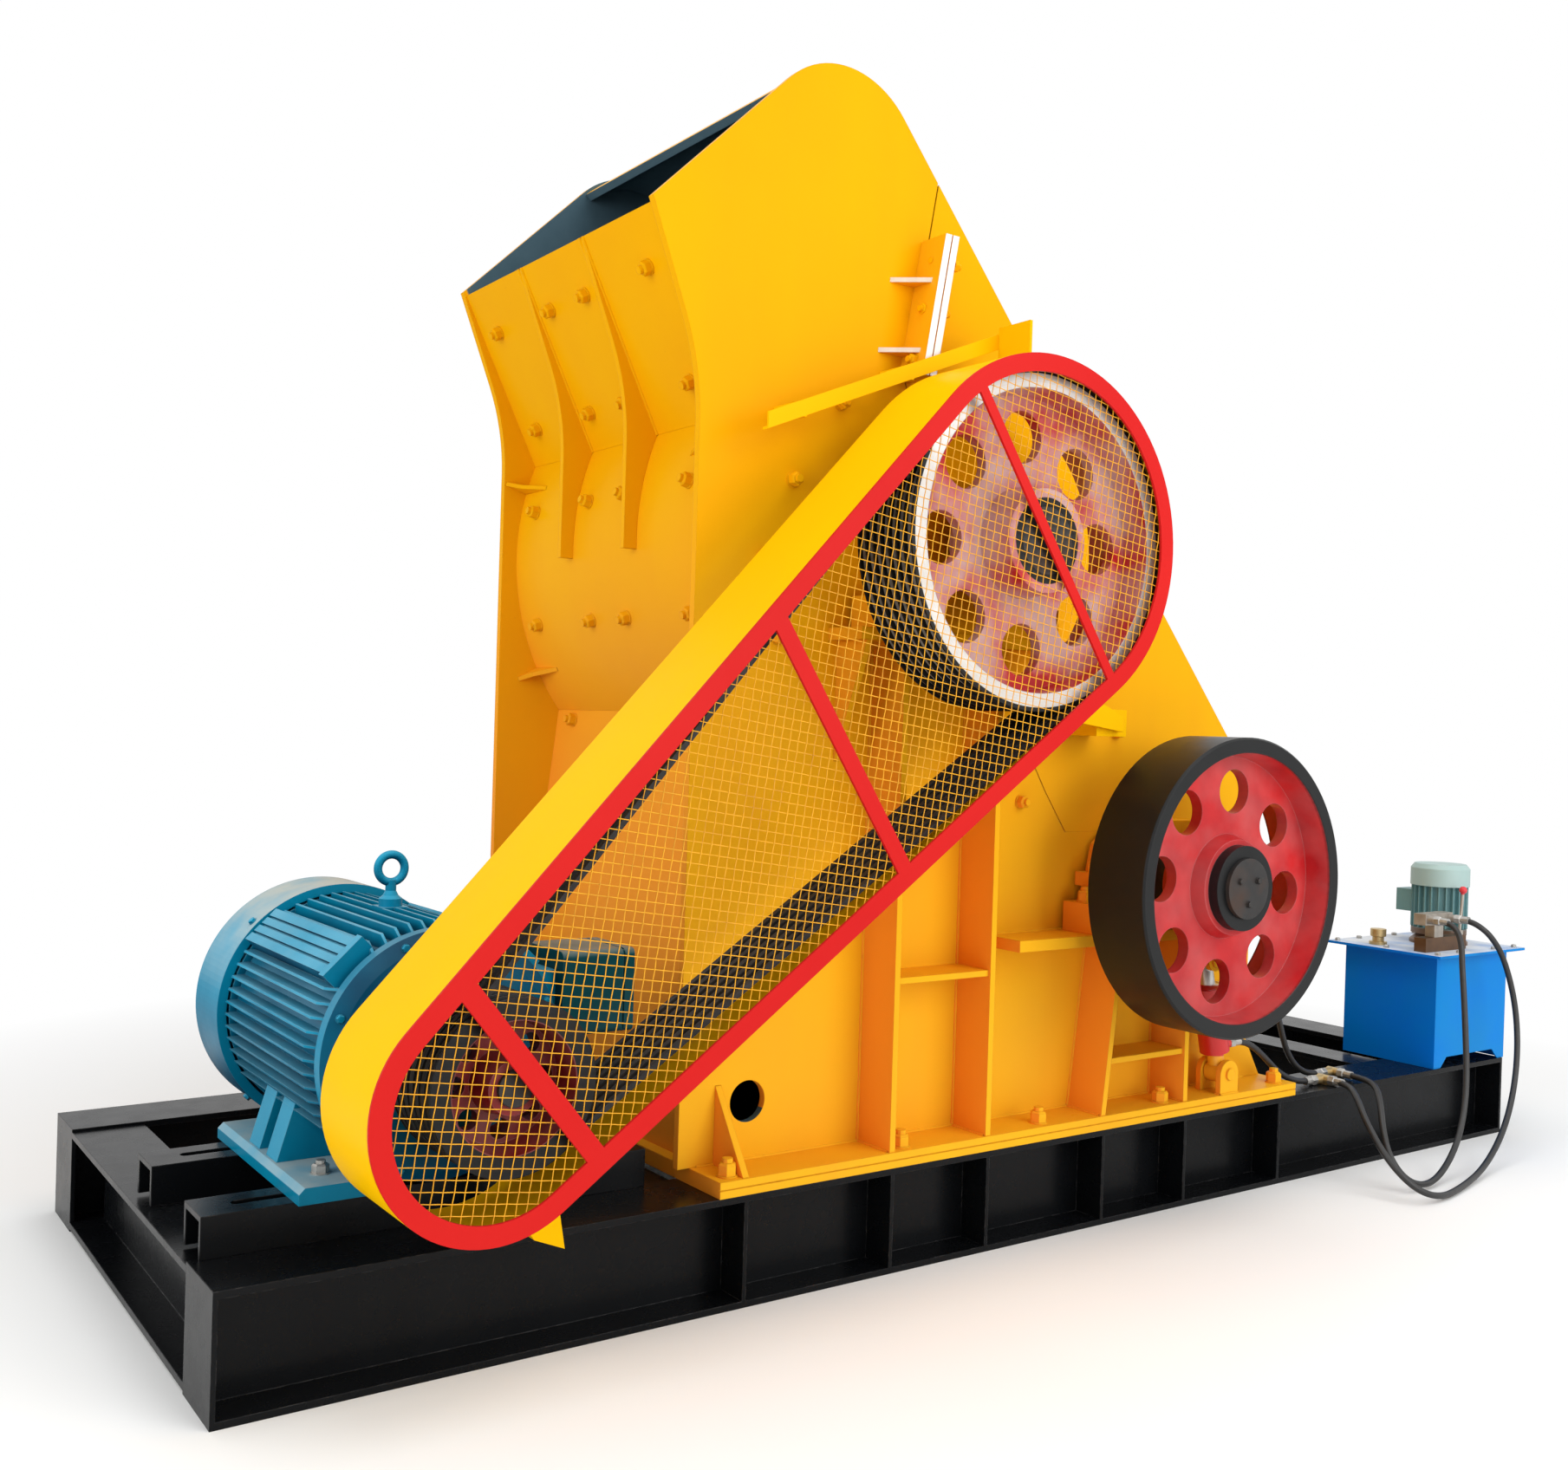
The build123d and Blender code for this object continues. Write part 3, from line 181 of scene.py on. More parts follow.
FLOOR_HALF = 40.0
FLOOR_FADE = (2.9, 4.6)
FLOOR_PALE = (0.93, 0.93, 0.92, 1.0)
floor_mesh = bpy.data.meshes.new("floor")
floor_corners = [(x * FLOOR_HALF, y * FLOOR_HALF, 0.0) for x, y in ((-1, -1), (1, -1), (1, 1), (-1, 1))]
floor_mesh.from_pydata(floor_corners, [], [(0, 1, 2, 3)])
floor = bpy.data.objects.new("floor", floor_mesh)
scene.collection.objects.link(floor)
floor_paint = bpy.data.materials.new("pale_floor")
floor_paint.use_nodes = True
floor_shader = floor_paint.node_tree.nodes["Principled BSDF"]
floor_shader.inputs["Base Color"].default_value = FLOOR_PALE
floor_shader.inputs["Roughness"].default_value = 0.9
floor_place = Wire(floor_paint.node_tree.nodes.new("ShaderNodeTexCoord").outputs["Object"])
reach = floor_place.length().ramp(*FLOOR_FADE)
far = reach * reach.make("ShaderNodeLightPath", (), (), "Is Camera Ray")
glow = reach.make("ShaderNodeEmission", (), {"Color": WHITE, "Strength": 1.0})
floor_look = reach.make("ShaderNodeMixShader", (), {0: far, 1: Wire(floor_shader.outputs[0]), 2: glow})
floor_end = floor_paint.node_tree.nodes["Material Output"]
floor_paint.node_tree.links.new(floor_look.socket, floor_end.inputs["Surface"])
floor_mesh.materials.append(floor_paint)


# The skid: rolled beams welded into a frame and brushed with black gloss paint, rubbed to grey along
# its edges. The motor's slide rails are welded on and painted with it.
def finish_of(name):
    """A new material: its shader, and the place on the piece that its patterns start from."""
    material = bpy.data.materials.new(name)
    material.use_nodes = True
    shader = material.node_tree.nodes["Principled BSDF"]
    place = Wire(material.node_tree.nodes.new("ShaderNodeTexCoord").outputs["Object"])
    return material, shader, place


def feed(shader, **inputs):
    """Sets or links the shader's sockets; an underscore stands for a space."""
    for key, value in inputs.items():
        socket = shader.inputs[key.replace("_", " ")]
        if isinstance(value, Wire):
            shader.id_data.links.new(value.socket, socket)
        else:
            socket.default_value = (*value, 1.0) if isinstance(value, tuple) and len(value) == 3 else value


def face_normal(place):
    """The way a surface faces."""
    return place.make("ShaderNodeNewGeometry", (), (), "True Normal")


def rounded(place, height, distance, radius=0.004):
    """A surface normal with softened edges and a fine relief, and how near an edge is."""
    edge = place.make("ShaderNodeBevel", {"samples": 4}, {"Radius": radius})
    near = 1.0 - edge.along(face_normal(place)).ramp(0.80, 0.98)
    relief = {"Height": height, "Distance": distance, "Strength": 0.5, "Normal": edge}
    return place.make("ShaderNodeBump", (), relief), near


def dress(material, *names):
    """Gives CAD pieces their finish."""
    for name in names:
        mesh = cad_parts[name].data
        mesh.materials.clear()
        mesh.materials.append(material)


SKID_BLACK = ((0.0045, 0.0051, 0.0060), (0.0026, 0.0030, 0.0036))
RUBBED_GREY = (0.16, 0.15, 0.15)
black_paint, shader, place = finish_of("black_paint")
brush_marks = place.noise(1.7, 3.0) * 0.7 + place.noise(7.0, 2.0, (1.0, 1.0, 0.12)) * 0.5
black = brush_marks.ramp(0.40, 0.80).blend(*SKID_BLACK)
skid_normal, skid_edge = rounded(place, place.noise(150.0, 1.0) * 0.2 + place.noise(9.0, 2.0), 0.0011)
skid_rubbed = skid_edge * place.noise(31.0, 4.0).ramp(0.48, 0.62) * 0.30
feed(shader, Base_Color=skid_rubbed.blend(black, RUBBED_GREY), Normal=skid_normal, Specular_IOR_Level=0.13,
     Roughness=0.20 + 0.14 * place.noise(13.0, 4.0))
dress(black_paint, "skid_front_beam", "skid_rear_beam", "skid_end_beams", "skid_cross_beams", "motor_rails")


# The housing: thick plate cut and welded into two side walls, a bent hood, a slanted feed plate and the
# rounded rotor shell, all in chrome yellow gloss. Inside, the steel is bare, dark and scoured by stone.
YELLOW_HIGH = ((0.83, 0.405, 0.0010), (0.81, 0.370, 0.0020))
YELLOW_LOW_DUST_AND_SHADE = ((0.86, 0.455, 0.0160), (0.84, 0.400, 0.0200))
SHADE_ORANGE = (0.90, 0.310, 0.0260)
RUBBED_ORANGE = (0.55, 0.20, 0.020)
LINER_STEEL = ((0.060, 0.110, 0.140), (0.085, 0.145, 0.180))
DUST_AND_SHADE_HEIGHTS = (0.5, 2.3)
SHADE_LINE = (1.2, 2.2)
MILL_CENTRE = spot(2.30, 0.775, 2.10)
UPPER_AXIS = (2.123, 2.083)
SHELL_RADIUS = 0.820
SHELL_SKIN = (0.012, 0.008)
FEED_TOP, FEED_FOOT = (1.098, 2.918), (1.3627, 2.3902)
FEED_FROM, LOW_PLATE_TO = (2.37, 2.39), (1.62, 1.64)
LOW_PLATE, LOW_PLATE_WAY = (1.473, 1.545), (-0.993, 0.0, 0.118)
fall = Vector((FEED_FOOT[0] - FEED_TOP[0], FEED_FOOT[1] - FEED_TOP[1])).normalized()
FEED_WAY = (fall.y, 0.0, -fall.x)


def off_axis(place, axis):
    """How far a place is from the axis of a shaft."""
    return place.vector("SUBTRACT", spot(axis[0], 0.0, axis[1])).vector("MULTIPLY", (1.0, 0.0, 1.0)).length()


def chamber(place):
    """1 inside the crushing chamber: in the shell, to its right, or behind the feed or low plate."""
    height = place.part(2)
    middle = spot(UPPER_AXIS[0], 0.0, UPPER_AXIS[1]).x
    right_half = place.part(0).ramp(middle, middle + 0.01)
    shell_edge = (SHELL_RADIUS - skin for skin in SHELL_SKIN)
    inside = right_half.math("MAXIMUM", 1.0 - off_axis(place, UPPER_AXIS).ramp(*shell_edge))
    for (x, z), way, level in ((FEED_FOOT, FEED_WAY, height.ramp(*FEED_FROM)),
                               (LOW_PLATE, LOW_PLATE_WAY, 1.0 - height.ramp(*LOW_PLATE_TO))):
        plane = spot(x, 0.0, z).dot(Vector(way))
        behind = (plane - place.along(way)).ramp(0.006, 0.012)
        inside = inside.math("MAXIMUM", behind * level)
    return inside


def housing_paint(name, lined):
    """Yellow brush paint that turns a deeper orange towards the floor, partly for dust and partly as painted
    shade, with painted shade on low faces that look left; where it is lined, the faces that look in are
    steel.
    """
    material, shader, place = finish_of(name)
    patches = place.noise(1.6, 3.0) * 0.7 + place.noise(6.0, 2.0, (1.0, 1.0, 0.10)) * 0.5
    tone = patches.ramp(0.40, 0.80)
    # Painted shade: the yellow turns a deeper orange towards the floor, partly for dust and partly for the
    # shade under the guard and flywheel.
    height = place.part(2).ramp(*DUST_AND_SHADE_HEIGHTS)
    paint = height.blend(tone.blend(*YELLOW_LOW_DUST_AND_SHADE), tone.blend(*YELLOW_HIGH))
    peel = place.noise(150.0, 1.0) * 0.2 + place.noise(8.0, 2.0)
    normal, edge = rounded(place, peel, 0.0012)
    specks = place.noise(95.0, 3.0).ramp(0.70, 0.76) * place.noise(3.0, 2.0).ramp(0.50, 0.70)
    rubbed = edge * place.noise(34.0, 4.0).ramp(0.56, 0.66) * 0.5 + specks * 0.35
    # Painted shade: low faces that look left are blended towards a shaded orange.
    leftward = (0.0 - face_normal(place).part(0)).ramp(0.3, 0.9) * (1.0 - place.part(2).ramp(*SHADE_LINE))
    paint = rubbed.blend(leftward.blend(paint, SHADE_ORANGE), RUBBED_ORANGE)
    roughness = 0.24 + 0.14 * place.noise(12.0, 4.0)
    if lined:
        outwards = place.vector("SUBTRACT", MILL_CENTRE)
        inner = (1.0 - face_normal(place).along(outwards).ramp(-0.01, 0.01)) * chamber(place)
        steel = place.noise(15.0, 4.0).blend(*LINER_STEEL)
        paint, roughness = inner.blend(paint, steel), roughness + 0.35 * inner
    feed(shader, Base_Color=paint, Roughness=roughness, Normal=normal, Specular_IOR_Level=0.02)
    return material


yellow_paint = housing_paint("yellow_paint", lined=False)
lined_paint = housing_paint("lined_yellow_paint", lined=True)
dress(yellow_paint, "base_flanges", "end_flanges", "feed_ribs", "wall_ribs", "bearing_shelves", "bearings",
      "cylinder_lugs")
dress(lined_paint, "front_wall", "rear_wall", "cover_walls", "hood_plate", "cover_plate", "feed_plate",
      "rotor_shell", "low_plate", "end_plate")


# The bolted flange on the split line: two bars with gussets, yellow like the walls but with their front
# edges machined bright.
MACHINED = ((0.62, 0.60, 0.57), (0.80, 0.78, 0.74))
machined, shader, place = finish_of("machined_flange")
front_face = (0.0 - face_normal(place).part(1)).ramp(0.6, 0.8)
brushed = place.noise(60.0, 3.0, (1.0, 1.0, 0.06))
feed(shader, Base_Color=front_face.blend(YELLOW_HIGH[1], brushed.blend(*MACHINED)),
     Metallic=front_face * 0.35, Roughness=0.3 + 0.2 * brushed, Specular_IOR_Level=0.3,
     Normal=rounded(place, brushed, 0.0008, 0.003)[0])
dress(machined, "split_flanges")


# The housing's fasteners: hexagon nuts on studs that hold the wear liners inside the feed plate, the shell
# and the walls, and the bolts through the base flange, the split flange and the bearing blocks.
def growing(name, sizes):
    """A geometry tree with named sizes: its inputs, the identifier of each size, and its end."""
    tree = bpy.data.node_groups.new(name, "GeometryNodeTree")
    tree.interface.new_socket("Geometry", in_out="INPUT", socket_type="NodeSocketGeometry")
    tree.interface.new_socket("Geometry", in_out="OUTPUT", socket_type="NodeSocketGeometry")
    keys = {}
    for size in sizes:
        keys[size] = tree.interface.new_socket(size, in_out="INPUT", socket_type="NodeSocketFloat").identifier
    start, end = tree.nodes.new("NodeGroupInput"), tree.nodes.new("NodeGroupOutput")
    return {socket.name: Wire(socket) for socket in start.outputs if socket.name}, keys, end


def bound(geometry, material, end):
    """Ends a tree: plain geometry with its material."""
    whole = geometry.make("GeometryNodeRealizeInstances", (), {0: geometry})
    painted = whole.make("GeometryNodeSetMaterial", (), {"Geometry": whole, "Material": material})
    end.id_data.links.new(painted.socket, end.inputs[0])
    return end.id_data


def grown(name, tree, keys, sizes, body, points, edges=(), facing=()):
    """Grows a tree on points or lines, keeps the result as a plain mesh, and lets it ride on a body."""
    seed_mesh = bpy.data.meshes.new(name + "_seed")
    seed_mesh.from_pydata(list(points), list(edges), [])
    if facing:
        ways = seed_mesh.attributes.new("facing", "FLOAT_VECTOR", "POINT")
        for entry, way in zip(ways.data, facing):
            entry.vector = way
    seed = bpy.data.objects.new(name + "_seed", seed_mesh)
    scene.collection.objects.link(seed)
    modifier = seed.modifiers.new("grow", "NODES")
    modifier.node_group = tree
    for size, value in sizes.items():
        modifier[keys[size]] = value
    depsgraph = bpy.context.evaluated_depsgraph_get()
    mesh = bpy.data.meshes.new_from_object(seed.evaluated_get(depsgraph))
    seed.modifiers.clear()
    bpy.data.objects.remove(seed)
    mesh.name = name
    piece = bpy.data.objects.new(name, mesh)
    scene.collection.objects.link(piece)
    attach(piece, body)
    return piece


def drum(wire, sides, radius, height, base):
    """A prism of some sides that stands on a height."""
    body = wire.make("GeometryNodeMeshCylinder", (), {"Vertices": sides, "Radius": radius, "Depth": height})
    lift = wire.make("ShaderNodeCombineXYZ", (), {2: base + height * 0.5})
    return wire.make("GeometryNodeTransform", (), {"Geometry": body, "Translation": lift})


NUT_SIZES = ("washer radius", "washer height", "nut radius", "nut height", "stud radius", "stud height")
SIXTH_OF_A_TURN = 1.05


def nut_tree(name, material, seed):
    """A washer, a chamfered hexagon nut and the end of its stud at each point, turned at random."""
    given, keys, end = growing(name, NUT_SIZES)
    washer_top = given["washer height"]
    nut = drum(washer_top, 6, given["nut radius"], given["nut height"], washer_top)
    nut_top = washer_top + given["nut height"]
    bevel = nut_top.make("GeometryNodeMeshCone", (), {
        "Vertices": 6, "Radius Bottom": given["nut radius"], "Radius Top": given["nut radius"] * 0.8,
        "Depth": given["nut height"] * 0.22})
    crown = nut_top.make("GeometryNodeTransform", (), {
        "Geometry": bevel, "Translation": nut_top.make("ShaderNodeCombineXYZ", (), {2: nut_top})})
    washer = drum(washer_top, 20, given["washer radius"], washer_top, washer_top * 0.0)
    stud = drum(washer_top, 10, given["stud radius"], given["stud height"], nut_top)
    fastener = nut_top.make("GeometryNodeJoinGeometry")
    for piece in (washer, stud, crown, nut):
        end.id_data.links.new(piece.socket, fastener.socket.node.inputs[0])
    way = nut_top.make("GeometryNodeInputNamedAttribute", {"data_type": "FLOAT_VECTOR"}, {"Name": "facing"})
    stands = nut_top.make("FunctionNodeAlignRotationToVector", {"axis": "Z"}, {"Vector": way})
    turn = nut_top.make("FunctionNodeRandomValue", {"data_type": "FLOAT"}, {
        2: 0.0, 3: SIXTH_OF_A_TURN, "Seed": seed}, 1)
    spun = nut_top.make("FunctionNodeAxisAngleToRotation", (), {"Axis": (0.0, 0.0, 1.0), "Angle": turn})
    rotation = nut_top.make("FunctionNodeRotateRotation", {"rotation_space": "LOCAL"}, {0: stands, 1: spun})
    placed = nut_top.make("GeometryNodeInstanceOnPoints", (), {
        "Points": given["Geometry"], "Instance": fastener, "Rotation": rotation})
    return bound(placed, material, end), keys


def nut_sizes(stud, washer=1.9, nut=0.8, proud=0.6):
    """The sizes of a fastener on a stud of some radius."""
    sizes = (stud * washer, stud * 0.3, stud * 1.75, stud * 2 * nut, stud, stud * 2 * proud)
    return dict(zip(NUT_SIZES, sizes))


LOWER_AXIS = (3.016, 1.085)
MID_DEPTH = 0.7755
WALL_FRONT = 0.155
UP = (0.0, 0.0, 1.0)


def both_sides(depth):
    """A depth on the front of the machine, and the same on its back."""
    return depth, 2 * MID_DEPTH - depth


def x_at(height, start, end):
    """Where a slanted line in the side view is, at a height."""
    return start[0] + (end[0] - start[0]) * (height - start[1]) / (end[1] - start[1])


def round_axis(axis, radius, degrees, depth):
    """A point on a circle about a shaft's axis, and the way out from the axis there."""
    out = Vector((math.cos(math.radians(degrees)), 0.0, math.sin(math.radians(degrees))))
    return spot(axis[0], depth, axis[1]) + radius * out, out


LINER_STUD = 0.012
LINER_COLUMNS = (0.300, 0.665, 0.885, 1.250)
FEED_NUT_HEIGHTS = (2.785, 2.495)
SHELL_NUT_ANGLES = (170.4, 196.1)
WALL_NUTS = ((1.564, 2.237), (1.723, 2.474), (2.477, 1.331), (1.527, 1.794), (1.470, 2.010), (2.900, 1.560))
liner_nuts, liner_ways = [], []
for depth in LINER_COLUMNS:
    for height in FEED_NUT_HEIGHTS:
        liner_nuts.append(spot(x_at(height, FEED_TOP, FEED_FOOT), depth, height))
        liner_ways.append(FEED_WAY)
    for angle in SHELL_NUT_ANGLES:
        point, out = round_axis(UPPER_AXIS, SHELL_RADIUS, angle, depth)
        liner_nuts.append(point)
        liner_ways.append(out)
    liner_nuts.append(spot(LOW_PLATE[0], depth, LOW_PLATE[1]))
    liner_ways.append(LOW_PLATE_WAY)
for x, height in WALL_NUTS:
    for depth, way in zip(both_sides(WALL_FRONT), (-1.0, 1.0)):
        liner_nuts.append(spot(x, depth, height))
        liner_ways.append((0.0, way, 0.0))
liner_tree, liner_keys = nut_tree("liner_nut", yellow_paint, 3)
grown("liner_nuts", liner_tree, liner_keys, nut_sizes(LINER_STUD), "root", liner_nuts,
      facing=liner_ways)

SEAT_STUD = 0.015
FLANGE_TOP = 0.344
SHELF_TOPS = (1.830, 0.920)
BASE_NUT_X = (1.340, 1.937, 2.489, 3.047, 3.640)
BASE_NUT_DEPTH, BEARING_DEPTH = 0.045, 0.075
FOOT_NUT, CAP_NUT = (0.318, 0.095), (0.279, 0.022)
seat_nuts = [spot(x, depth, FLANGE_TOP) for x in BASE_NUT_X for depth in both_sides(BASE_NUT_DEPTH)]
for axis, shelf in zip((UPPER_AXIS, LOWER_AXIS), SHELF_TOPS):
    for side in (-1, 1):
        for depth in both_sides(BEARING_DEPTH):
            seat_nuts += [spot(axis[0] + side * FOOT_NUT[0], depth, shelf + FOOT_NUT[1]),
                          spot(axis[0] + side * CAP_NUT[0], depth, axis[1] + CAP_NUT[1])]
grown("seat_nuts", liner_tree, liner_keys, nut_sizes(SEAT_STUD, nut=0.9), "root", seat_nuts,
      facing=[UP] * len(seat_nuts))

SPLIT_STUD = 0.010
SPLIT_FOOT, SPLIT_HEAD = (1.955, 2.570), (2.060, 2.9864)
SPLIT_NUT_HEIGHTS = (2.620, 2.774, 2.920)
SPLIT_FACES = ((-0.024, -1.0), (0.028, 1.0))
SPLIT_NUT_DEPTH = 0.095
split_nuts, split_ways = [], []
for height in SPLIT_NUT_HEIGHTS:
    for face, way in SPLIT_FACES:
        for depth in both_sides(SPLIT_NUT_DEPTH):
            split_nuts.append(spot(x_at(height, SPLIT_FOOT, SPLIT_HEAD) + face, depth, height))
            split_ways.append((way, 0.0, 0.0))
grown("split_nuts", liner_tree, liner_keys, nut_sizes(SPLIT_STUD), "root", split_nuts,
      facing=split_ways)


# Weld beads: laid by hand where the ribs, shelves, lugs and feed ribs meet the plates, and along the foot of
# the walls, then painted over.
BEAD = {"bead radius": 0.0055, "step": 0.012, "ripple": 0.004}
weld_given, weld_keys, weld_end = growing("weld_bead", BEAD)
weld_line = weld_given["Geometry"].make("GeometryNodeMeshToCurve", (), {0: weld_given["Geometry"]})
weld_line = weld_line.make("GeometryNodeResampleCurve", {"mode": "LENGTH"}, {
    "Curve": weld_line, "Length": weld_given["step"]})
weld_round = weld_line.make("GeometryNodeCurvePrimitiveCircle", {"mode": "RADIUS"}, {
    "Resolution": 6, "Radius": weld_given["bead radius"]})
weld_skin = weld_line.make("GeometryNodeCurveToMesh", (), {"Curve": weld_line, "Profile Curve": weld_round})
weld_lumps = weld_line.make("ShaderNodeTexNoise", (), {"Scale": 60.0, "Detail": 1.0}) - 0.5
weld_swell = weld_line.make("ShaderNodeVectorMath", {"operation": "SCALE"}, {
    0: weld_line.make("GeometryNodeInputNormal"), "Scale": weld_lumps * weld_given["ripple"]})
weld_skin = weld_line.make("GeometryNodeSetPosition", (), {"Geometry": weld_skin, "Offset": weld_swell})
weld_tree = bound(weld_skin, yellow_paint, weld_end)

WALL_ENDS = (1.310, 3.610)
SHELF_ENDS = ((1.705, 2.646), (2.345, 3.460))
SHELF_THICK = 0.035
UPPER_UNDER, LOWER_UNDER = (top - SHELF_THICK for top in SHELF_TOPS)
RIBS = ((1.875, 1.875, UPPER_UNDER), (2.242, 2.242, UPPER_UNDER),
        (2.736, 2.800, LOWER_UNDER), (3.125, 3.125, LOWER_UNDER))
HALF_RIB = 0.010
RIB_FOOT_FRONT, RIB_HEAD_FRONT = 0.012, 0.040
LUG_ENDS, LUG_FACES = (3.306, 3.398), (0.008, 0.028)
FEED_RIB_DEPTHS = (0.5767, 0.9743)


def seam_along_x(ends, y, z):
    """A seam that runs along the skid."""
    return tuple((x, y, z) for x in ends)


def seam_along_y(x, ends, z):
    """A seam that runs back from the front."""
    return tuple((x, y, z) for y in ends)


seams = [seam_along_x(WALL_ENDS, WALL_FRONT, FLANGE_TOP)]
for shelf_ends, top in zip(SHELF_ENDS, SHELF_TOPS):
    seams += [seam_along_x(shelf_ends, WALL_FRONT, height) for height in (top, top - SHELF_THICK)]
for foot, head, under in RIBS:
    for side in (-HALF_RIB, HALF_RIB):
        seams += [((foot + side, WALL_FRONT, FLANGE_TOP), (head + side, WALL_FRONT, under)),
                  seam_along_y(foot + side, (RIB_FOOT_FRONT, WALL_FRONT), FLANGE_TOP),
                  seam_along_y(head + side, (RIB_HEAD_FRONT, WALL_FRONT), under)]
seams += [seam_along_y(lug_end, LUG_FACES, FLANGE_TOP) for lug_end in LUG_ENDS]
seams.append(seam_along_x(LUG_ENDS, LUG_FACES[0], FLANGE_TOP))
seams += [tuple((x, both_sides(y)[1], z) for x, y, z in seam) for seam in seams]
for depth in FEED_RIB_DEPTHS:
    for side in (-HALF_RIB, HALF_RIB):
        seams.append(((FEED_TOP[0], depth + side, FEED_TOP[1]), (FEED_FOOT[0], depth + side, FEED_FOOT[1])))
weld_points = [spot(*point) for seam in seams for point in seam]
weld_edges = [(2 * index, 2 * index + 1) for index in range(len(seams))]
grown("weld_beads", weld_tree, weld_keys, BEAD, "root", weld_points, weld_edges)


# The rotors: forged shafts that carry discs, pins and cast hammers, scoured and rusty from stone. The shaft
# ends are black, with a ring of small bolts in each one that stands clear of the guard.
ROTOR_IRON = ((0.010, 0.010, 0.011), (0.035, 0.032, 0.030))
ROTOR_RUST = (0.060, 0.030, 0.018)
rotor_steel, shader, place = finish_of("rotor_steel")
scour = place.noise(22.0, 5.0)
rust = place.noise(6.0, 4.0).ramp(0.52, 0.72)
feed(shader, Base_Color=rust.blend(scour.blend(*ROTOR_IRON), ROTOR_RUST), Metallic=0.35,
     Roughness=0.45 + 0.3 * rust, Normal=rounded(place, scour, 0.0012)[0])
dress(rotor_steel, "upper_rotor", "upper_hammers", "lower_rotor", "lower_hammers", "motor_shaft")

END_STUD, END_RING = 0.006, 0.048
END_BOLT_ANGLES = (30, 150, 270)
SHAFT_FRONT = -0.308
FRONT_END, BACK_END = zip(both_sides(SHAFT_FRONT), (-1.0, 1.0))
SHAFT_ENDS = {"lower_rotor": (LOWER_AXIS, (FRONT_END, BACK_END)), "upper_rotor": (UPPER_AXIS, (BACK_END,))}
end_tree, end_keys = nut_tree("shaft_end_bolt", rotor_steel, 5)
for body, (axis, ends) in SHAFT_ENDS.items():
    end_bolts, end_ways = [], []
    for depth, way in ends:
        for angle in END_BOLT_ANGLES:
            end_bolts.append(round_axis(axis, END_RING, angle, depth)[0])
            end_ways.append((0.0, way, 0.0))
    grown(body + "_end_bolts", end_tree, end_keys, nut_sizes(END_STUD, washer=1.8, nut=0.5, proud=0.1), body,
          end_bolts, facing=end_ways)


# The wheels: cast iron with red webs and black rims. The upper pulley has a bright turned ring on its front
# and grey stone dust on its web, and all of them are keyed to their shafts.
WHEEL_RED = ((0.56, 0.020, 0.022), (0.40, 0.014, 0.018))
SHADED_PULLEY_RED = ((0.24, 0.013, 0.013), (0.15, 0.010, 0.011))
RIM_BLACK = ((0.0060, 0.0065, 0.0070), (0.0110, 0.0115, 0.0120))
BRIGHT = ((0.50, 0.49, 0.47), (0.74, 0.73, 0.70))
WEB_DUST, WEB_EDGE = (0.60, 0.48, 0.46), (0.62, 0.42, 0.42)
MOTOR_AXIS = (0.565, 0.730)
FLYWHEEL_HUB, FLYWHEEL_RIM = 0.134, 0.4215
PULLEY_HUB, PULLEY_RIM, PULLEY_RING = 0.120, 0.4240, 0.463
MOTOR_PULLEY_RIM = 0.152


def wheel_finish(name, axis, hub_to, rim_from, dust, ring_to=0.0, web=WHEEL_RED):
    """A wheel's paint by the distance from its axis: red web, black hub and rim, and a turned ring."""
    material, shader, place = finish_of(name)
    radius = off_axis(place, axis)
    on_rim = radius.ramp(rim_from - 0.001, rim_from + 0.001)
    endwise = face_normal(place).part(1).math("ABSOLUTE").ramp(0.90, 0.95)
    black = on_rim.math("MAXIMUM", 1.0 - radius.ramp(hub_to - 0.001, hub_to + 0.001))
    ring = on_rim * endwise * (1.0 - radius.ramp(ring_to - 0.001, ring_to + 0.001))
    mottle = place.noise(9.0, 4.0).ramp(0.3, 0.7)
    turning = radius.make("ShaderNodeCombineXYZ", (), {0: radius * 260.0}).noise(1.0, 2.0)
    powder = place.noise(5.0, 5.0).ramp(0.36, 0.62) * dust
    normal, edge = rounded(place, turning * on_rim + place.noise(90.0, 2.0) * 0.3, 0.0006)
    red = (edge * 0.25).blend(powder.blend(mottle.blend(*web), WEB_DUST), WEB_EDGE)
    paint = ring.blend(black.blend(red, turning.blend(*RIM_BLACK)), turning.blend(*BRIGHT))
    feed(shader, Base_Color=paint, Metallic=ring * 0.55, Normal=normal, Specular_IOR_Level=0.22,
         Roughness=0.28 + 0.1 * mottle + 0.3 * powder)
    return material


dress(wheel_finish("lower_flywheel_iron", LOWER_AXIS, FLYWHEEL_HUB, FLYWHEEL_RIM, 0.10), "lower_flywheels")
dress(wheel_finish("upper_flywheel_iron", UPPER_AXIS, FLYWHEEL_HUB, FLYWHEEL_RIM, 0.10), "upper_flywheel")
dress(wheel_finish("upper_pulley_iron", UPPER_AXIS, PULLEY_HUB, PULLEY_RIM, 0.75, ring_to=PULLEY_RING),
      "upper_pulley")
# The motor pulley's duller red is painted shade, for the shade inside the guard.
dress(wheel_finish("motor_pulley_iron", MOTOR_AXIS, 0.0, MOTOR_PULLEY_RIM, 0.10, web=SHADED_PULLEY_RED),
      "motor_pulley")


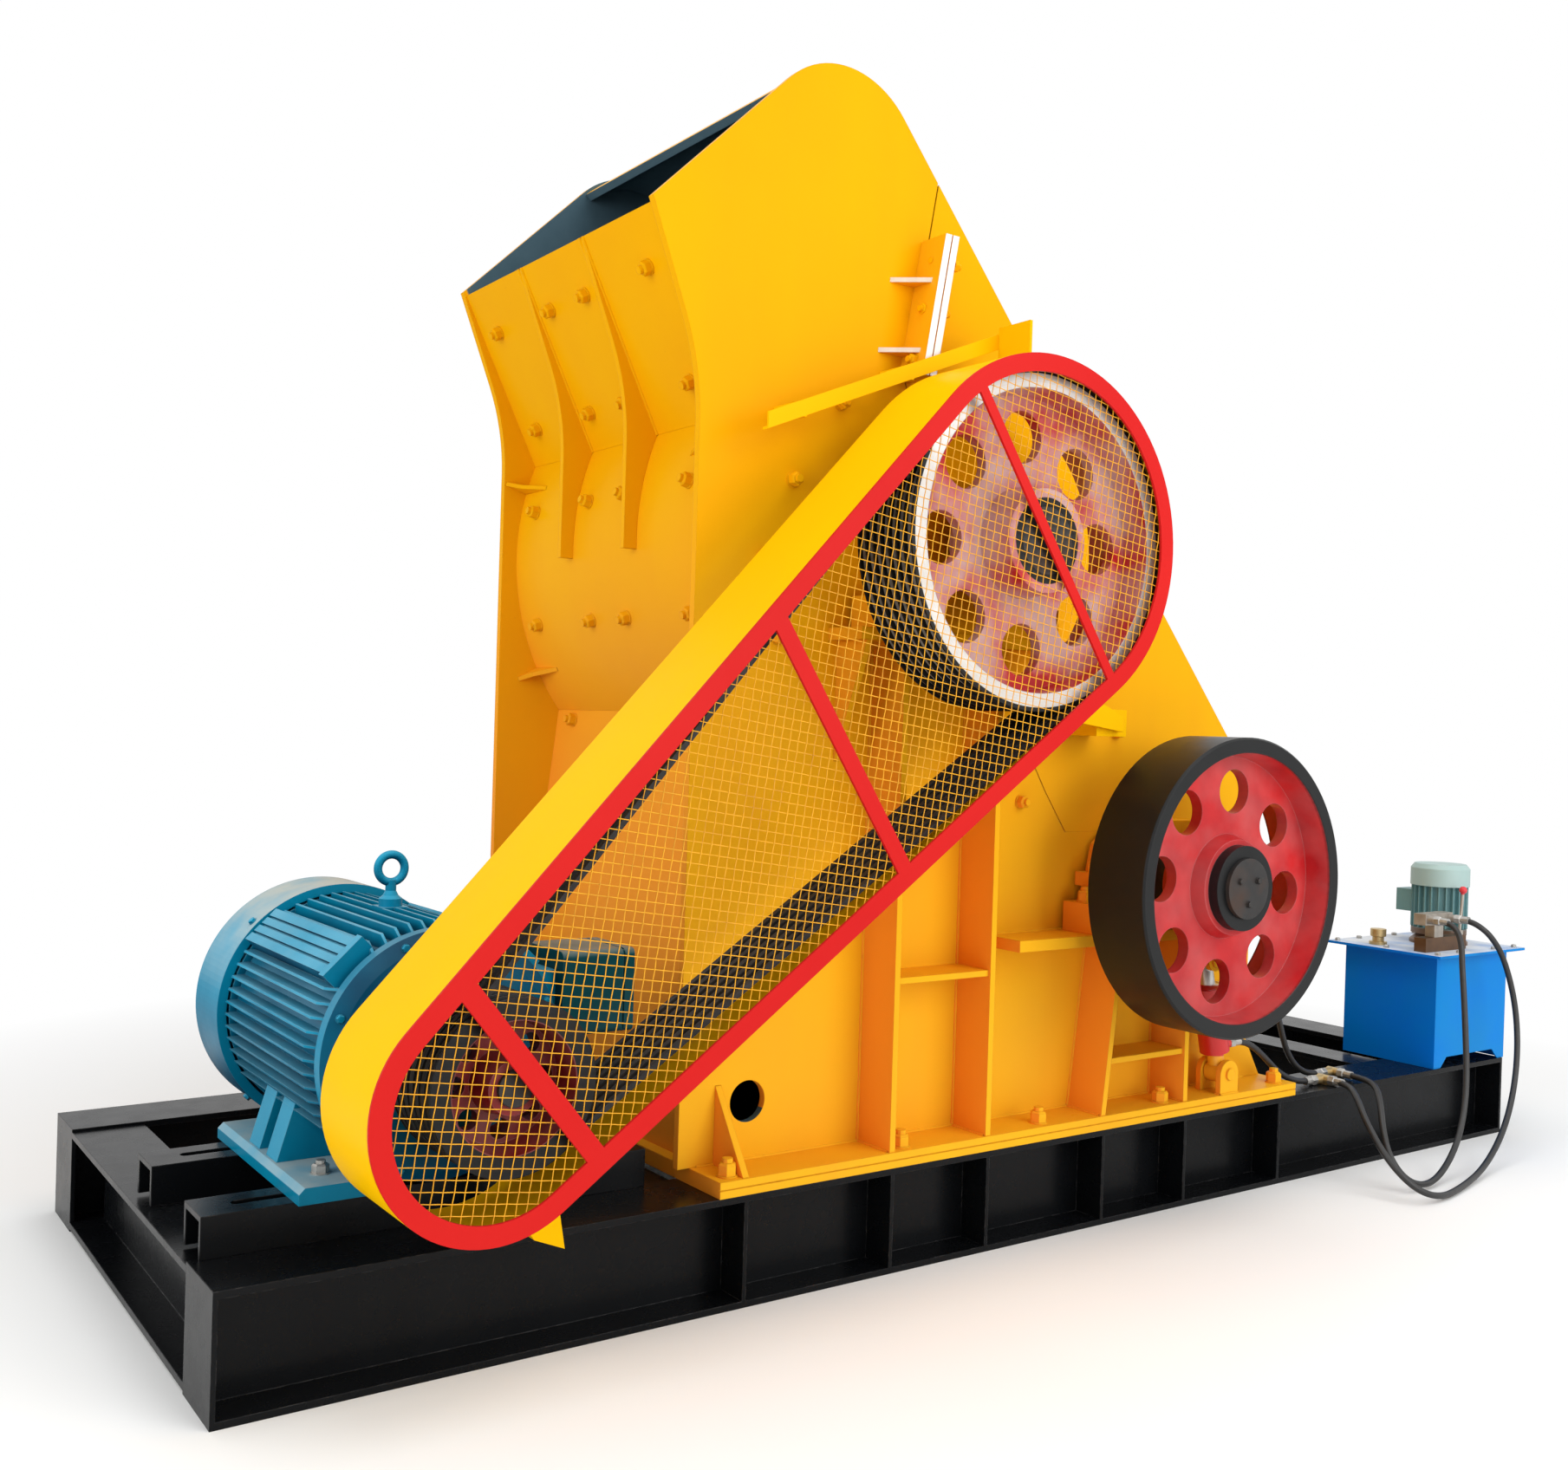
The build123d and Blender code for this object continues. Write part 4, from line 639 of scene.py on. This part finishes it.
# The belts: seven black V-belts side by side between the motor's pulley and the upper one. They are rubber
# over cords in a cloth cover, and their flanks are grey with dust.
BELT_BLACK, BELT_CHALK = (0.009, 0.009, 0.010), (0.085, 0.080, 0.074)
belt_rubber, shader, place = finish_of("belt_rubber")
belt_cloth = {"Height": place.noise(900.0, 1.0, (1.0, 0.25, 1.0)), "Distance": 0.0008, "Strength": 0.5}
chalk = place.noise(14.0, 4.0).ramp(0.45, 0.80) * 0.35
feed(shader, Base_Color=chalk.blend(BELT_BLACK, BELT_CHALK), Roughness=0.55 + 0.25 * place.noise(40.0, 3.0),
     Normal=place.make("ShaderNodeBump", (), belt_cloth))
dress(belt_rubber, "drive_belts")


# The belt guard: a rolled sheet band in clean yellow enamel, a flat red frame with three cross bars on its
# front, and angle brackets that tie it to the wall.
PRIMER_BROWN = (0.30, 0.10, 0.04)
GUARD_YELLOW = ((0.89, 0.500, 0.0010), (0.87, 0.465, 0.0020))
GUARD_RED = ((0.60, 0.0150, 0.0130), (0.55, 0.0115, 0.0115))


def enamel(name, tones, specular):
    """Sprayed enamel on sheet: two near tones in broad patches, a slight orange peel, soft edges."""
    material, shader, place = finish_of(name)
    sheen = place.noise(1.3, 3.0).ramp(0.35, 0.70)
    normal, edge = rounded(place, place.noise(170.0, 1.0) * 0.15 + place.noise(5.0, 2.0), 0.0010, 0.002)
    chips = edge * place.noise(40.0, 4.0).ramp(0.60, 0.70) * 0.4
    feed(shader, Base_Color=chips.blend(sheen.blend(*tones), PRIMER_BROWN), Normal=normal,
         Roughness=0.28 + 0.12 * place.noise(17.0, 3.0), Specular_IOR_Level=specular)
    return material


dress(enamel("guard_yellow", GUARD_YELLOW, 0.02), "guard_band", "guard_brackets")
dress(enamel("guard_red", GUARD_RED, 0.06), "guard_frame")


# The guard's wire mesh: crimped steel wires woven square and dipped in yellow paint, held between the band
# and the frame.
GUARD_ENDS = (Vector((0.505, 0.687)), Vector((2.113, 2.090)))
GUARD_RADII = (0.288, 0.503)
MESH_HEM = 0.012
MESH_DEPTH = -0.2975
MESH_PITCH = 0.0255
MESH_SLOPE = math.radians(-8.5)
MESH_LINES = range(-40, 140)
OUTLINE_STEPS = 400
WIRE_RADIUS = 0.0013
CRIMP = 0.0012
WIRE_YELLOW = ((0.84, 0.40, 0.012), (0.62, 0.27, 0.020))
to_mesh, from_mesh = Matrix.Rotation(-MESH_SLOPE, 2), Matrix.Rotation(MESH_SLOPE, 2)
mesh_ends = [to_mesh @ end for end in GUARD_ENDS]


def mesh_span(line, axis):
    """The ends of a wire inside the guard's outline: a rising wire for axis 0, a level one for axis 1."""
    ends = []
    for step in range(OUTLINE_STEPS + 1):
        share = step / OUTLINE_STEPS
        centre = mesh_ends[0].lerp(mesh_ends[1], share)
        reach = GUARD_RADII[0] + share * (GUARD_RADII[1] - GUARD_RADII[0]) - MESH_HEM
        chord = reach * reach - (line - centre[axis]) ** 2
        if chord > 0:
            ends += [centre[1 - axis] - math.sqrt(chord), centre[1 - axis] + math.sqrt(chord)]
    return (min(ends), max(ends)) if ends else None


mesh_points, mesh_edges = [], []
for axis in (0, 1):
    for line in MESH_LINES:
        span = mesh_span(line * MESH_PITCH, axis)
        if span is None:
            continue
        first = len(mesh_points)
        crossings = range(math.ceil(span[0] / MESH_PITCH), math.floor(span[1] / MESH_PITCH) + 1)
        bends = [(c * MESH_PITCH, CRIMP if (c + line + axis) % 2 else -CRIMP) for c in crossings]
        for run, bend in [(span[0], 0.0), *bends, (span[1], 0.0)]:
            x, z = from_mesh @ Vector((line * MESH_PITCH, run) if axis == 0 else (run, line * MESH_PITCH))
            mesh_points.append(spot(x, MESH_DEPTH + bend, z))
        mesh_edges += [(index, index + 1) for index in range(first, len(mesh_points) - 1)]
wire_given, wire_keys, wire_end = growing("woven_wire", ("wire radius",))
wire_line = wire_given["Geometry"].make("GeometryNodeMeshToCurve", (), {0: wire_given["Geometry"]})
wire_round = wire_line.make("GeometryNodeCurvePrimitiveCircle", {"mode": "RADIUS"}, {
    "Resolution": 5, "Radius": wire_given["wire radius"]})
wire_skin = wire_line.make("GeometryNodeCurveToMesh", (), {"Curve": wire_line, "Profile Curve": wire_round})
wire_paint, shader, place = finish_of("wire_paint")
wire_dirt = place.noise(12.0, 4.0).ramp(0.45, 0.75)
feed(shader, Base_Color=wire_dirt.blend(*WIRE_YELLOW), Roughness=0.4 + 0.2 * wire_dirt,
     Specular_IOR_Level=0.3)
wire_tree = bound(wire_skin, wire_paint, wire_end)
wire_mesh = grown("woven_mesh", wire_tree, wire_keys, {"wire radius": WIRE_RADIUS}, "root",
                  mesh_points, mesh_edges)
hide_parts("guard_mesh")


# The motor: a finned cast frame on two feet with a pressed fan cover and a terminal box, sprayed in glossy
# teal blue, with painted shade on the faces that look down. Pale stone dust lies on the feet and the fan
# cover, the gaps between the fins carry painted shade, and the fin edges a painted highlight.
MOTOR_TEAL_LIT_AND_SHADED = ((0.002, 0.330, 0.530), (0.001, 0.042, 0.095))
BOX_TEAL_SHADED = ((0.005, 0.085, 0.100), (0.003, 0.032, 0.045))
WORN_TEAL = (0.30, 0.52, 0.58)
STONE_DUST = (0.58, 0.55, 0.46)
SHADE_BETWEEN_FINS, HIGHLIGHT_ON_FIN_EDGES = (0.001, 0.030, 0.075), (0.38, 0.57, 0.56)
FIN_GAP = (0.272, 0.312)
DOWN, FORWARD = (0.0, 0.0, -1.0), (0.0, -1.0, 0.0)


def dusted_and_shaded_paint(name, tones, shaded_way, dust, powder=STONE_DUST, finned=False):
    """Gloss paint with painted shade on faces that look one way, dusty on those that look up, and between
    fins a painted shade with a painted highlight on the fin edges.
    """
    material, shader, place = finish_of(name)
    mottle = place.noise(4.0, 3.0).ramp(0.35, 0.68)
    facing = face_normal(place)
    # Painted shade: faces that look the shaded way get the darker of the two tones.
    shaded_side = facing.along(shaded_way).ramp(-0.6, 0.6) * 0.8 + mottle * 0.2
    cover = facing.part(2).ramp(0.15, 0.95) * (0.45 + 0.55 * place.noise(7.0, 4.0).ramp(0.30, 0.60)) * dust
    normal, edge = rounded(place, place.noise(120.0, 2.0) * 0.3 + place.noise(10.0, 2.0), 0.0010, 0.0025)
    paint = cover.blend((edge * 0.10).blend(shaded_side.blend(*tones), WORN_TEAL), powder)
    if finned:
        # Painted shade in the gaps between the fins, and a painted highlight along the fin edges.
        gap = 1.0 - off_axis(place, MOTOR_AXIS).ramp(*FIN_GAP)
        paint = (gap * 0.80).blend(paint, SHADE_BETWEEN_FINS)
        paint = (edge * (1.0 - gap) * 0.25).blend(paint, HIGHLIGHT_ON_FIN_EDGES)
    feed(shader, Base_Color=paint, Normal=normal, Specular_IOR_Level=0.08,
         Roughness=0.28 + 0.12 * mottle + 0.4 * cover)
    return material


motor_teal = dusted_and_shaded_paint("motor_teal", MOTOR_TEAL_LIT_AND_SHADED, DOWN, 0.10)
dress(motor_teal, "motor_eye_bolt")
# The shield's faces that look forward carry painted shade.
dress(dusted_and_shaded_paint("shield_teal", MOTOR_TEAL_LIT_AND_SHADED, FORWARD, 0.10), "motor_shield")
dress(dusted_and_shaded_paint("finned_teal", MOTOR_TEAL_LIT_AND_SHADED, DOWN, 0.18, finned=True), "motor_body")
dress(dusted_and_shaded_paint("foot_teal", MOTOR_TEAL_LIT_AND_SHADED, DOWN, 0.60), "motor_feet")
dress(dusted_and_shaded_paint("fan_cover_teal", MOTOR_TEAL_LIT_AND_SHADED, DOWN, 0.80), "fan_cover")
# The terminal box's darker teal is painted shade, for the shade it sits in behind the guard.
dress(dusted_and_shaded_paint("terminal_box_teal", BOX_TEAL_SHADED, DOWN, 0.30), "motor_terminal_box")


# The motor's fasteners: hexagon bolts in the feet, round the bearing shield, in the fan cover and in the lid
# of the terminal box.
ZINC = ((0.30, 0.29, 0.27), (0.58, 0.57, 0.54))
FOOT_STUD, COVER_STUD = 0.012, 0.006
FOOT_BOLT_X, FOOT_BOLT_DEPTHS, FOOT_TOP = (0.320, 0.810), (0.275, 0.730), 0.440
SHIELD_BOLTS, SHIELD_RING, SHIELD_DEPTH = 8, 0.285, 0.118
FAN_COVER_BOLTS, FAN_COVER_RADIUS, FAN_COVER_DEPTH = 4, 0.337, 0.895
BOX_LID_X, BOX_LID_DEPTHS, BOX_LID_HEIGHTS = 1.110, (0.195, 0.375), (0.755, 0.925)
zinc, shader, place = finish_of("zinc_steel")
tarnish = place.noise(70.0, 4.0)
feed(shader, Base_Color=tarnish.blend(*ZINC), Metallic=0.8, Roughness=0.3 + 0.25 * tarnish)
foot_bolts = [spot(x, depth, FOOT_TOP) for x in FOOT_BOLT_X for depth in FOOT_BOLT_DEPTHS]
bolt_tree, bolt_keys = nut_tree("motor_bolt", zinc, 7)
grown("foot_bolts", bolt_tree, bolt_keys, nut_sizes(FOOT_STUD, washer=2.0, nut=0.7, proud=0.5), "root",
      foot_bolts, facing=[UP] * len(foot_bolts))
cover_bolts, cover_ways = [], []
for step in range(SHIELD_BOLTS):
    degrees = 360 / SHIELD_BOLTS * (step + 0.5)
    cover_bolts.append(round_axis(MOTOR_AXIS, SHIELD_RING, degrees, SHIELD_DEPTH)[0])
    cover_ways.append(FORWARD)
for step in range(FAN_COVER_BOLTS):
    degrees = 360 / FAN_COVER_BOLTS * (step + 0.5)
    point, out = round_axis(MOTOR_AXIS, FAN_COVER_RADIUS, degrees, FAN_COVER_DEPTH)
    cover_bolts.append(point)
    cover_ways.append(out)
for depth in BOX_LID_DEPTHS:
    for height in BOX_LID_HEIGHTS:
        cover_bolts.append(spot(BOX_LID_X, depth, height))
        cover_ways.append((1.0, 0.0, 0.0))
cover_tree, cover_keys = nut_tree("cover_bolt", motor_teal, 9)
grown("cover_bolts", cover_tree, cover_keys, nut_sizes(COVER_STUD, nut=0.5, proud=0.1), "root",
      cover_bolts, facing=cover_ways)


# The power pack: a folded steel oil tank and its bolted lid in bright blue, a grey-green finned pump motor
# on a rusty bell, a valve block with a hand lever on a rusty manifold, and a brass filler cap.
TANK_BLUE_LIT_AND_SHADED = ((0.0003, 0.255, 0.500), (0.0003, 0.165, 0.740))
# The pale lid top is partly dust and partly a painted glare.
LID_DUST_AND_GLARE = (0.80, 0.82, 0.84)
LEFTWARD = (-1.0, 0.0, 0.0)
# Painted shade on the tank's faces that look left; the pale powder on faces that look up is dust, and on the
# lid's top also a painted glare.
dress(dusted_and_shaded_paint("tank_blue", TANK_BLUE_LIT_AND_SHADED, LEFTWARD, 0.95, powder=LID_DUST_AND_GLARE), "oil_tank", "tank_lid")

RUST_BROWN = ((0.075, 0.040, 0.020), (0.19, 0.10, 0.05))
PUMP_GREEN, PUMP_CAP = ((0.125, 0.275, 0.290), (0.185, 0.360, 0.370)), (0.36, 0.50, 0.48)
BELL_TOP, CAP_FOOT = (0.805, 0.815), (0.978, 0.982)
pump_grey, shader, place = finish_of("pump_grey")
pump_mottle = place.noise(14.0, 4.0)
pump_paint = place.part(2).ramp(*CAP_FOOT).blend(pump_mottle.blend(*PUMP_GREEN), PUMP_CAP)
pump_paint = place.part(2).ramp(*BELL_TOP).blend(pump_mottle.blend(*RUST_BROWN), pump_paint)
feed(shader, Base_Color=pump_paint, Roughness=0.36 + 0.2 * pump_mottle,
     Normal=rounded(place, pump_mottle, 0.0010, 0.002)[0])
dress(pump_grey, "pump_motor")

VALVE_STEEL, KNOB_RED = ((0.22, 0.20, 0.18), (0.52, 0.47, 0.40)), (0.66, 0.030, 0.040)
MANIFOLD_TOP, KNOB_FOOT = (0.800, 0.802), (0.958, 0.960)
valve_steel, shader, place = finish_of("valve_steel")
valve_knob = place.part(2).ramp(*KNOB_FOOT)
valve_stain = place.noise(30.0, 4.0)
valve_metal = valve_stain.blend(*VALVE_STEEL)
valve_metal = place.part(2).ramp(*MANIFOLD_TOP).blend(valve_stain.blend(*RUST_BROWN), valve_metal)
feed(shader, Base_Color=valve_knob.blend(valve_metal, KNOB_RED), Metallic=0.5 - 0.5 * valve_knob,
     Roughness=0.32 + 0.25 * valve_stain)
dress(valve_steel, "pump_valve")

BRASS = ((0.62, 0.47, 0.22), (0.42, 0.30, 0.14))
brass, shader, place = finish_of("brass_fitting")
brass_stain = place.noise(45.0, 4.0)
feed(shader, Base_Color=brass_stain.blend(*BRASS), Metallic=0.75, Roughness=0.30 + 0.25 * brass_stain)
dress(brass, "filler_cap", "hose_unions")

LID_TOP, LID_STUD = 0.745, 0.006
LID_BOLT_X, LID_BOLT_DEPTHS, LID_MIDDLE = (4.535, 4.680, 4.925, 5.070), (-0.015, 0.425), 0.205
lid_bolts = [spot(x, depth, LID_TOP) for x in LID_BOLT_X for depth in LID_BOLT_DEPTHS]
lid_bolts += [spot(x, LID_MIDDLE, LID_TOP) for x in (LID_BOLT_X[0], LID_BOLT_X[-1])]
grown("lid_bolts", bolt_tree, bolt_keys, nut_sizes(LID_STUD, nut=0.6, proud=0.2), "root",
      lid_bolts, facing=[UP] * len(lid_bolts))


# The lifting cylinders: red barrels with bright rods and ports, on yellow lugs that are welded to the base
# flange. Their lower eyes are yellow like the lugs, and a pin goes through both.
EYE_TOP, ROD_FOOT = (0.466, 0.470), (0.712, 0.714)
cylinder_red, shader, place = finish_of("cylinder_red")
rod_part = place.part(2).ramp(*ROD_FOOT)
cylinder_stain = place.noise(20.0, 4.0)
barrel_paint = place.part(2).ramp(*EYE_TOP).blend(YELLOW_LOW_DUST_AND_SHADE[1], cylinder_stain.blend(*GUARD_RED))
feed(shader, Base_Color=rod_part.blend(barrel_paint, cylinder_stain.blend(*BRIGHT)), Metallic=rod_part * 0.8,
     Roughness=0.26 + 0.15 * cylinder_stain, Normal=rounded(place, cylinder_stain, 0.0008, 0.002)[0])
dress(cylinder_red, "lift_cylinders")


# The hydraulic hoses: black rubber over braid. They run from the pump's valve down in front of the skid,
# lie on the floor in a loose loop, and climb back over the front beam to their unions.
HOSE_DIAMETER = 0.022
HOSE_BLACK = ((0.008, 0.008, 0.009), (0.020, 0.019, 0.018))
VALVE_PORTS = (4.565, 4.705)
PORT_HEIGHT = 0.872
UNION_HEIGHT = 0.318
UPPER_PORT = (3.362, 0.060, 0.678)
LOWER_PORT = (3.405, 0.060, 0.5026)
HOSES = {
    "hose_pressure": (1.926, [
        (VALVE_PORTS[0], 0.020, PORT_HEIGHT), (VALVE_PORTS[0], -0.030, PORT_HEIGHT), (4.560, -0.075, 0.850),
        (4.545, -0.105, 0.800), (4.520, -0.125, 0.720), (4.500, -0.150, 0.590), (4.475, -0.182, 0.370),
        (4.425, -0.212, 0.235), (4.325, -0.248, 0.112), (4.160, -0.290, 0.032), (4.010, -0.318, 0.015),
        (3.915, -0.302, 0.048), (3.893, -0.252, 0.118), (3.930, -0.200, 0.195), (4.005, -0.138, 0.272),
        (4.075, -0.070, 0.313), (4.098, 0.015, UNION_HEIGHT), (4.098, 0.100, UNION_HEIGHT)]),
    "hose_return": (2.368, [
        (VALVE_PORTS[1], 0.020, PORT_HEIGHT), (VALVE_PORTS[1], -0.030, PORT_HEIGHT), (4.718, -0.072, 0.855),
        (4.755, -0.102, 0.815), (4.808, -0.124, 0.735), (4.848, -0.152, 0.570), (4.827, -0.182, 0.400),
        (4.735, -0.222, 0.238), (4.590, -0.265, 0.108), (4.370, -0.322, 0.026), (4.120, -0.388, 0.013),
        (3.930, -0.425, 0.016), (3.820, -0.398, 0.055), (3.788, -0.315, 0.135), (3.812, -0.212, 0.238),
        (3.888, -0.120, 0.302), (3.958, -0.040, UNION_HEIGHT), (3.958, 0.040, UNION_HEIGHT)]),
    "hose_upper_port": (0.843, [
        (4.053, 0.130, UNION_HEIGHT), (3.970, 0.130, UNION_HEIGHT), (3.885, 0.128, 0.352),
        (3.815, 0.120, 0.415), (3.765, 0.108, 0.490), (3.720, 0.094, 0.565), (3.655, 0.078, 0.635),
        (3.565, 0.062, 0.674), (3.465, *UPPER_PORT[1:]), UPPER_PORT]),
    "hose_lower_port": (0.555, [
        (3.913, 0.070, UNION_HEIGHT), (3.835, 0.070, UNION_HEIGHT), (3.760, 0.069, 0.338),
        (3.690, 0.067, 0.372), (3.625, 0.064, 0.420), (3.555, 0.062, 0.470), (3.480, *LOWER_PORT[1:]),
        LOWER_PORT]),
}

hose_rubber, shader, place = finish_of("hose_rubber")
hose_grain = {"Height": place.noise(420.0, 1.0), "Distance": 0.0006, "Strength": 0.4}
feed(shader, Base_Color=place.noise(60.0, 3.0).blend(*HOSE_BLACK),
     Roughness=0.36 + 0.2 * place.noise(35.0, 3.0), Normal=place.make("ShaderNodeBump", (), hose_grain))
ferrules, ferrule_ways = [], []
for name, (length, route) in HOSES.items():
    curve = bpy.data.curves.new(name + "_run", "CURVE")
    curve.dimensions = "3D"
    spline = curve.splines.new("NURBS")
    spline.points.add(len(route) - 1)
    for point, on_skid in zip(spline.points, route):
        point.co = (*spot(*on_skid), 1.0)
    spline.order_u = 3
    spline.use_endpoint_u = True
    curve.resolution_u = 10
    curve.bevel_depth = HOSE_DIAMETER / 2
    curve.bevel_resolution = 5
    curve.use_fill_caps = True
    curve.materials.append(hose_rubber)
    hose = bpy.data.objects.new(name + "_run", curve)
    scene.collection.objects.link(hose)
    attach(hose, "root")
    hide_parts(name)
    spot(*route[0])
    "loose" if length > 1 else "hanging"
    for end, inner in ((route[0], route[1]), (route[-1], route[-2])):
        ferrules.append(spot(*end))
        ferrule_ways.append((Vector(inner) - Vector(end)).normalized())


# The hose ends: a swivel nut that is screwed onto the port and a crimped steel ferrule behind it, both zinc
# plated.
FERRULE = dict(zip(NUT_SIZES, (0.0165, 0.003, 0.0185, 0.020, 0.0145, 0.034)))
ferrule_tree, ferrule_keys = nut_tree("hose_end", zinc, 11)
grown("hose_ends", ferrule_tree, ferrule_keys, FERRULE, "root", ferrules, facing=ferrule_ways)
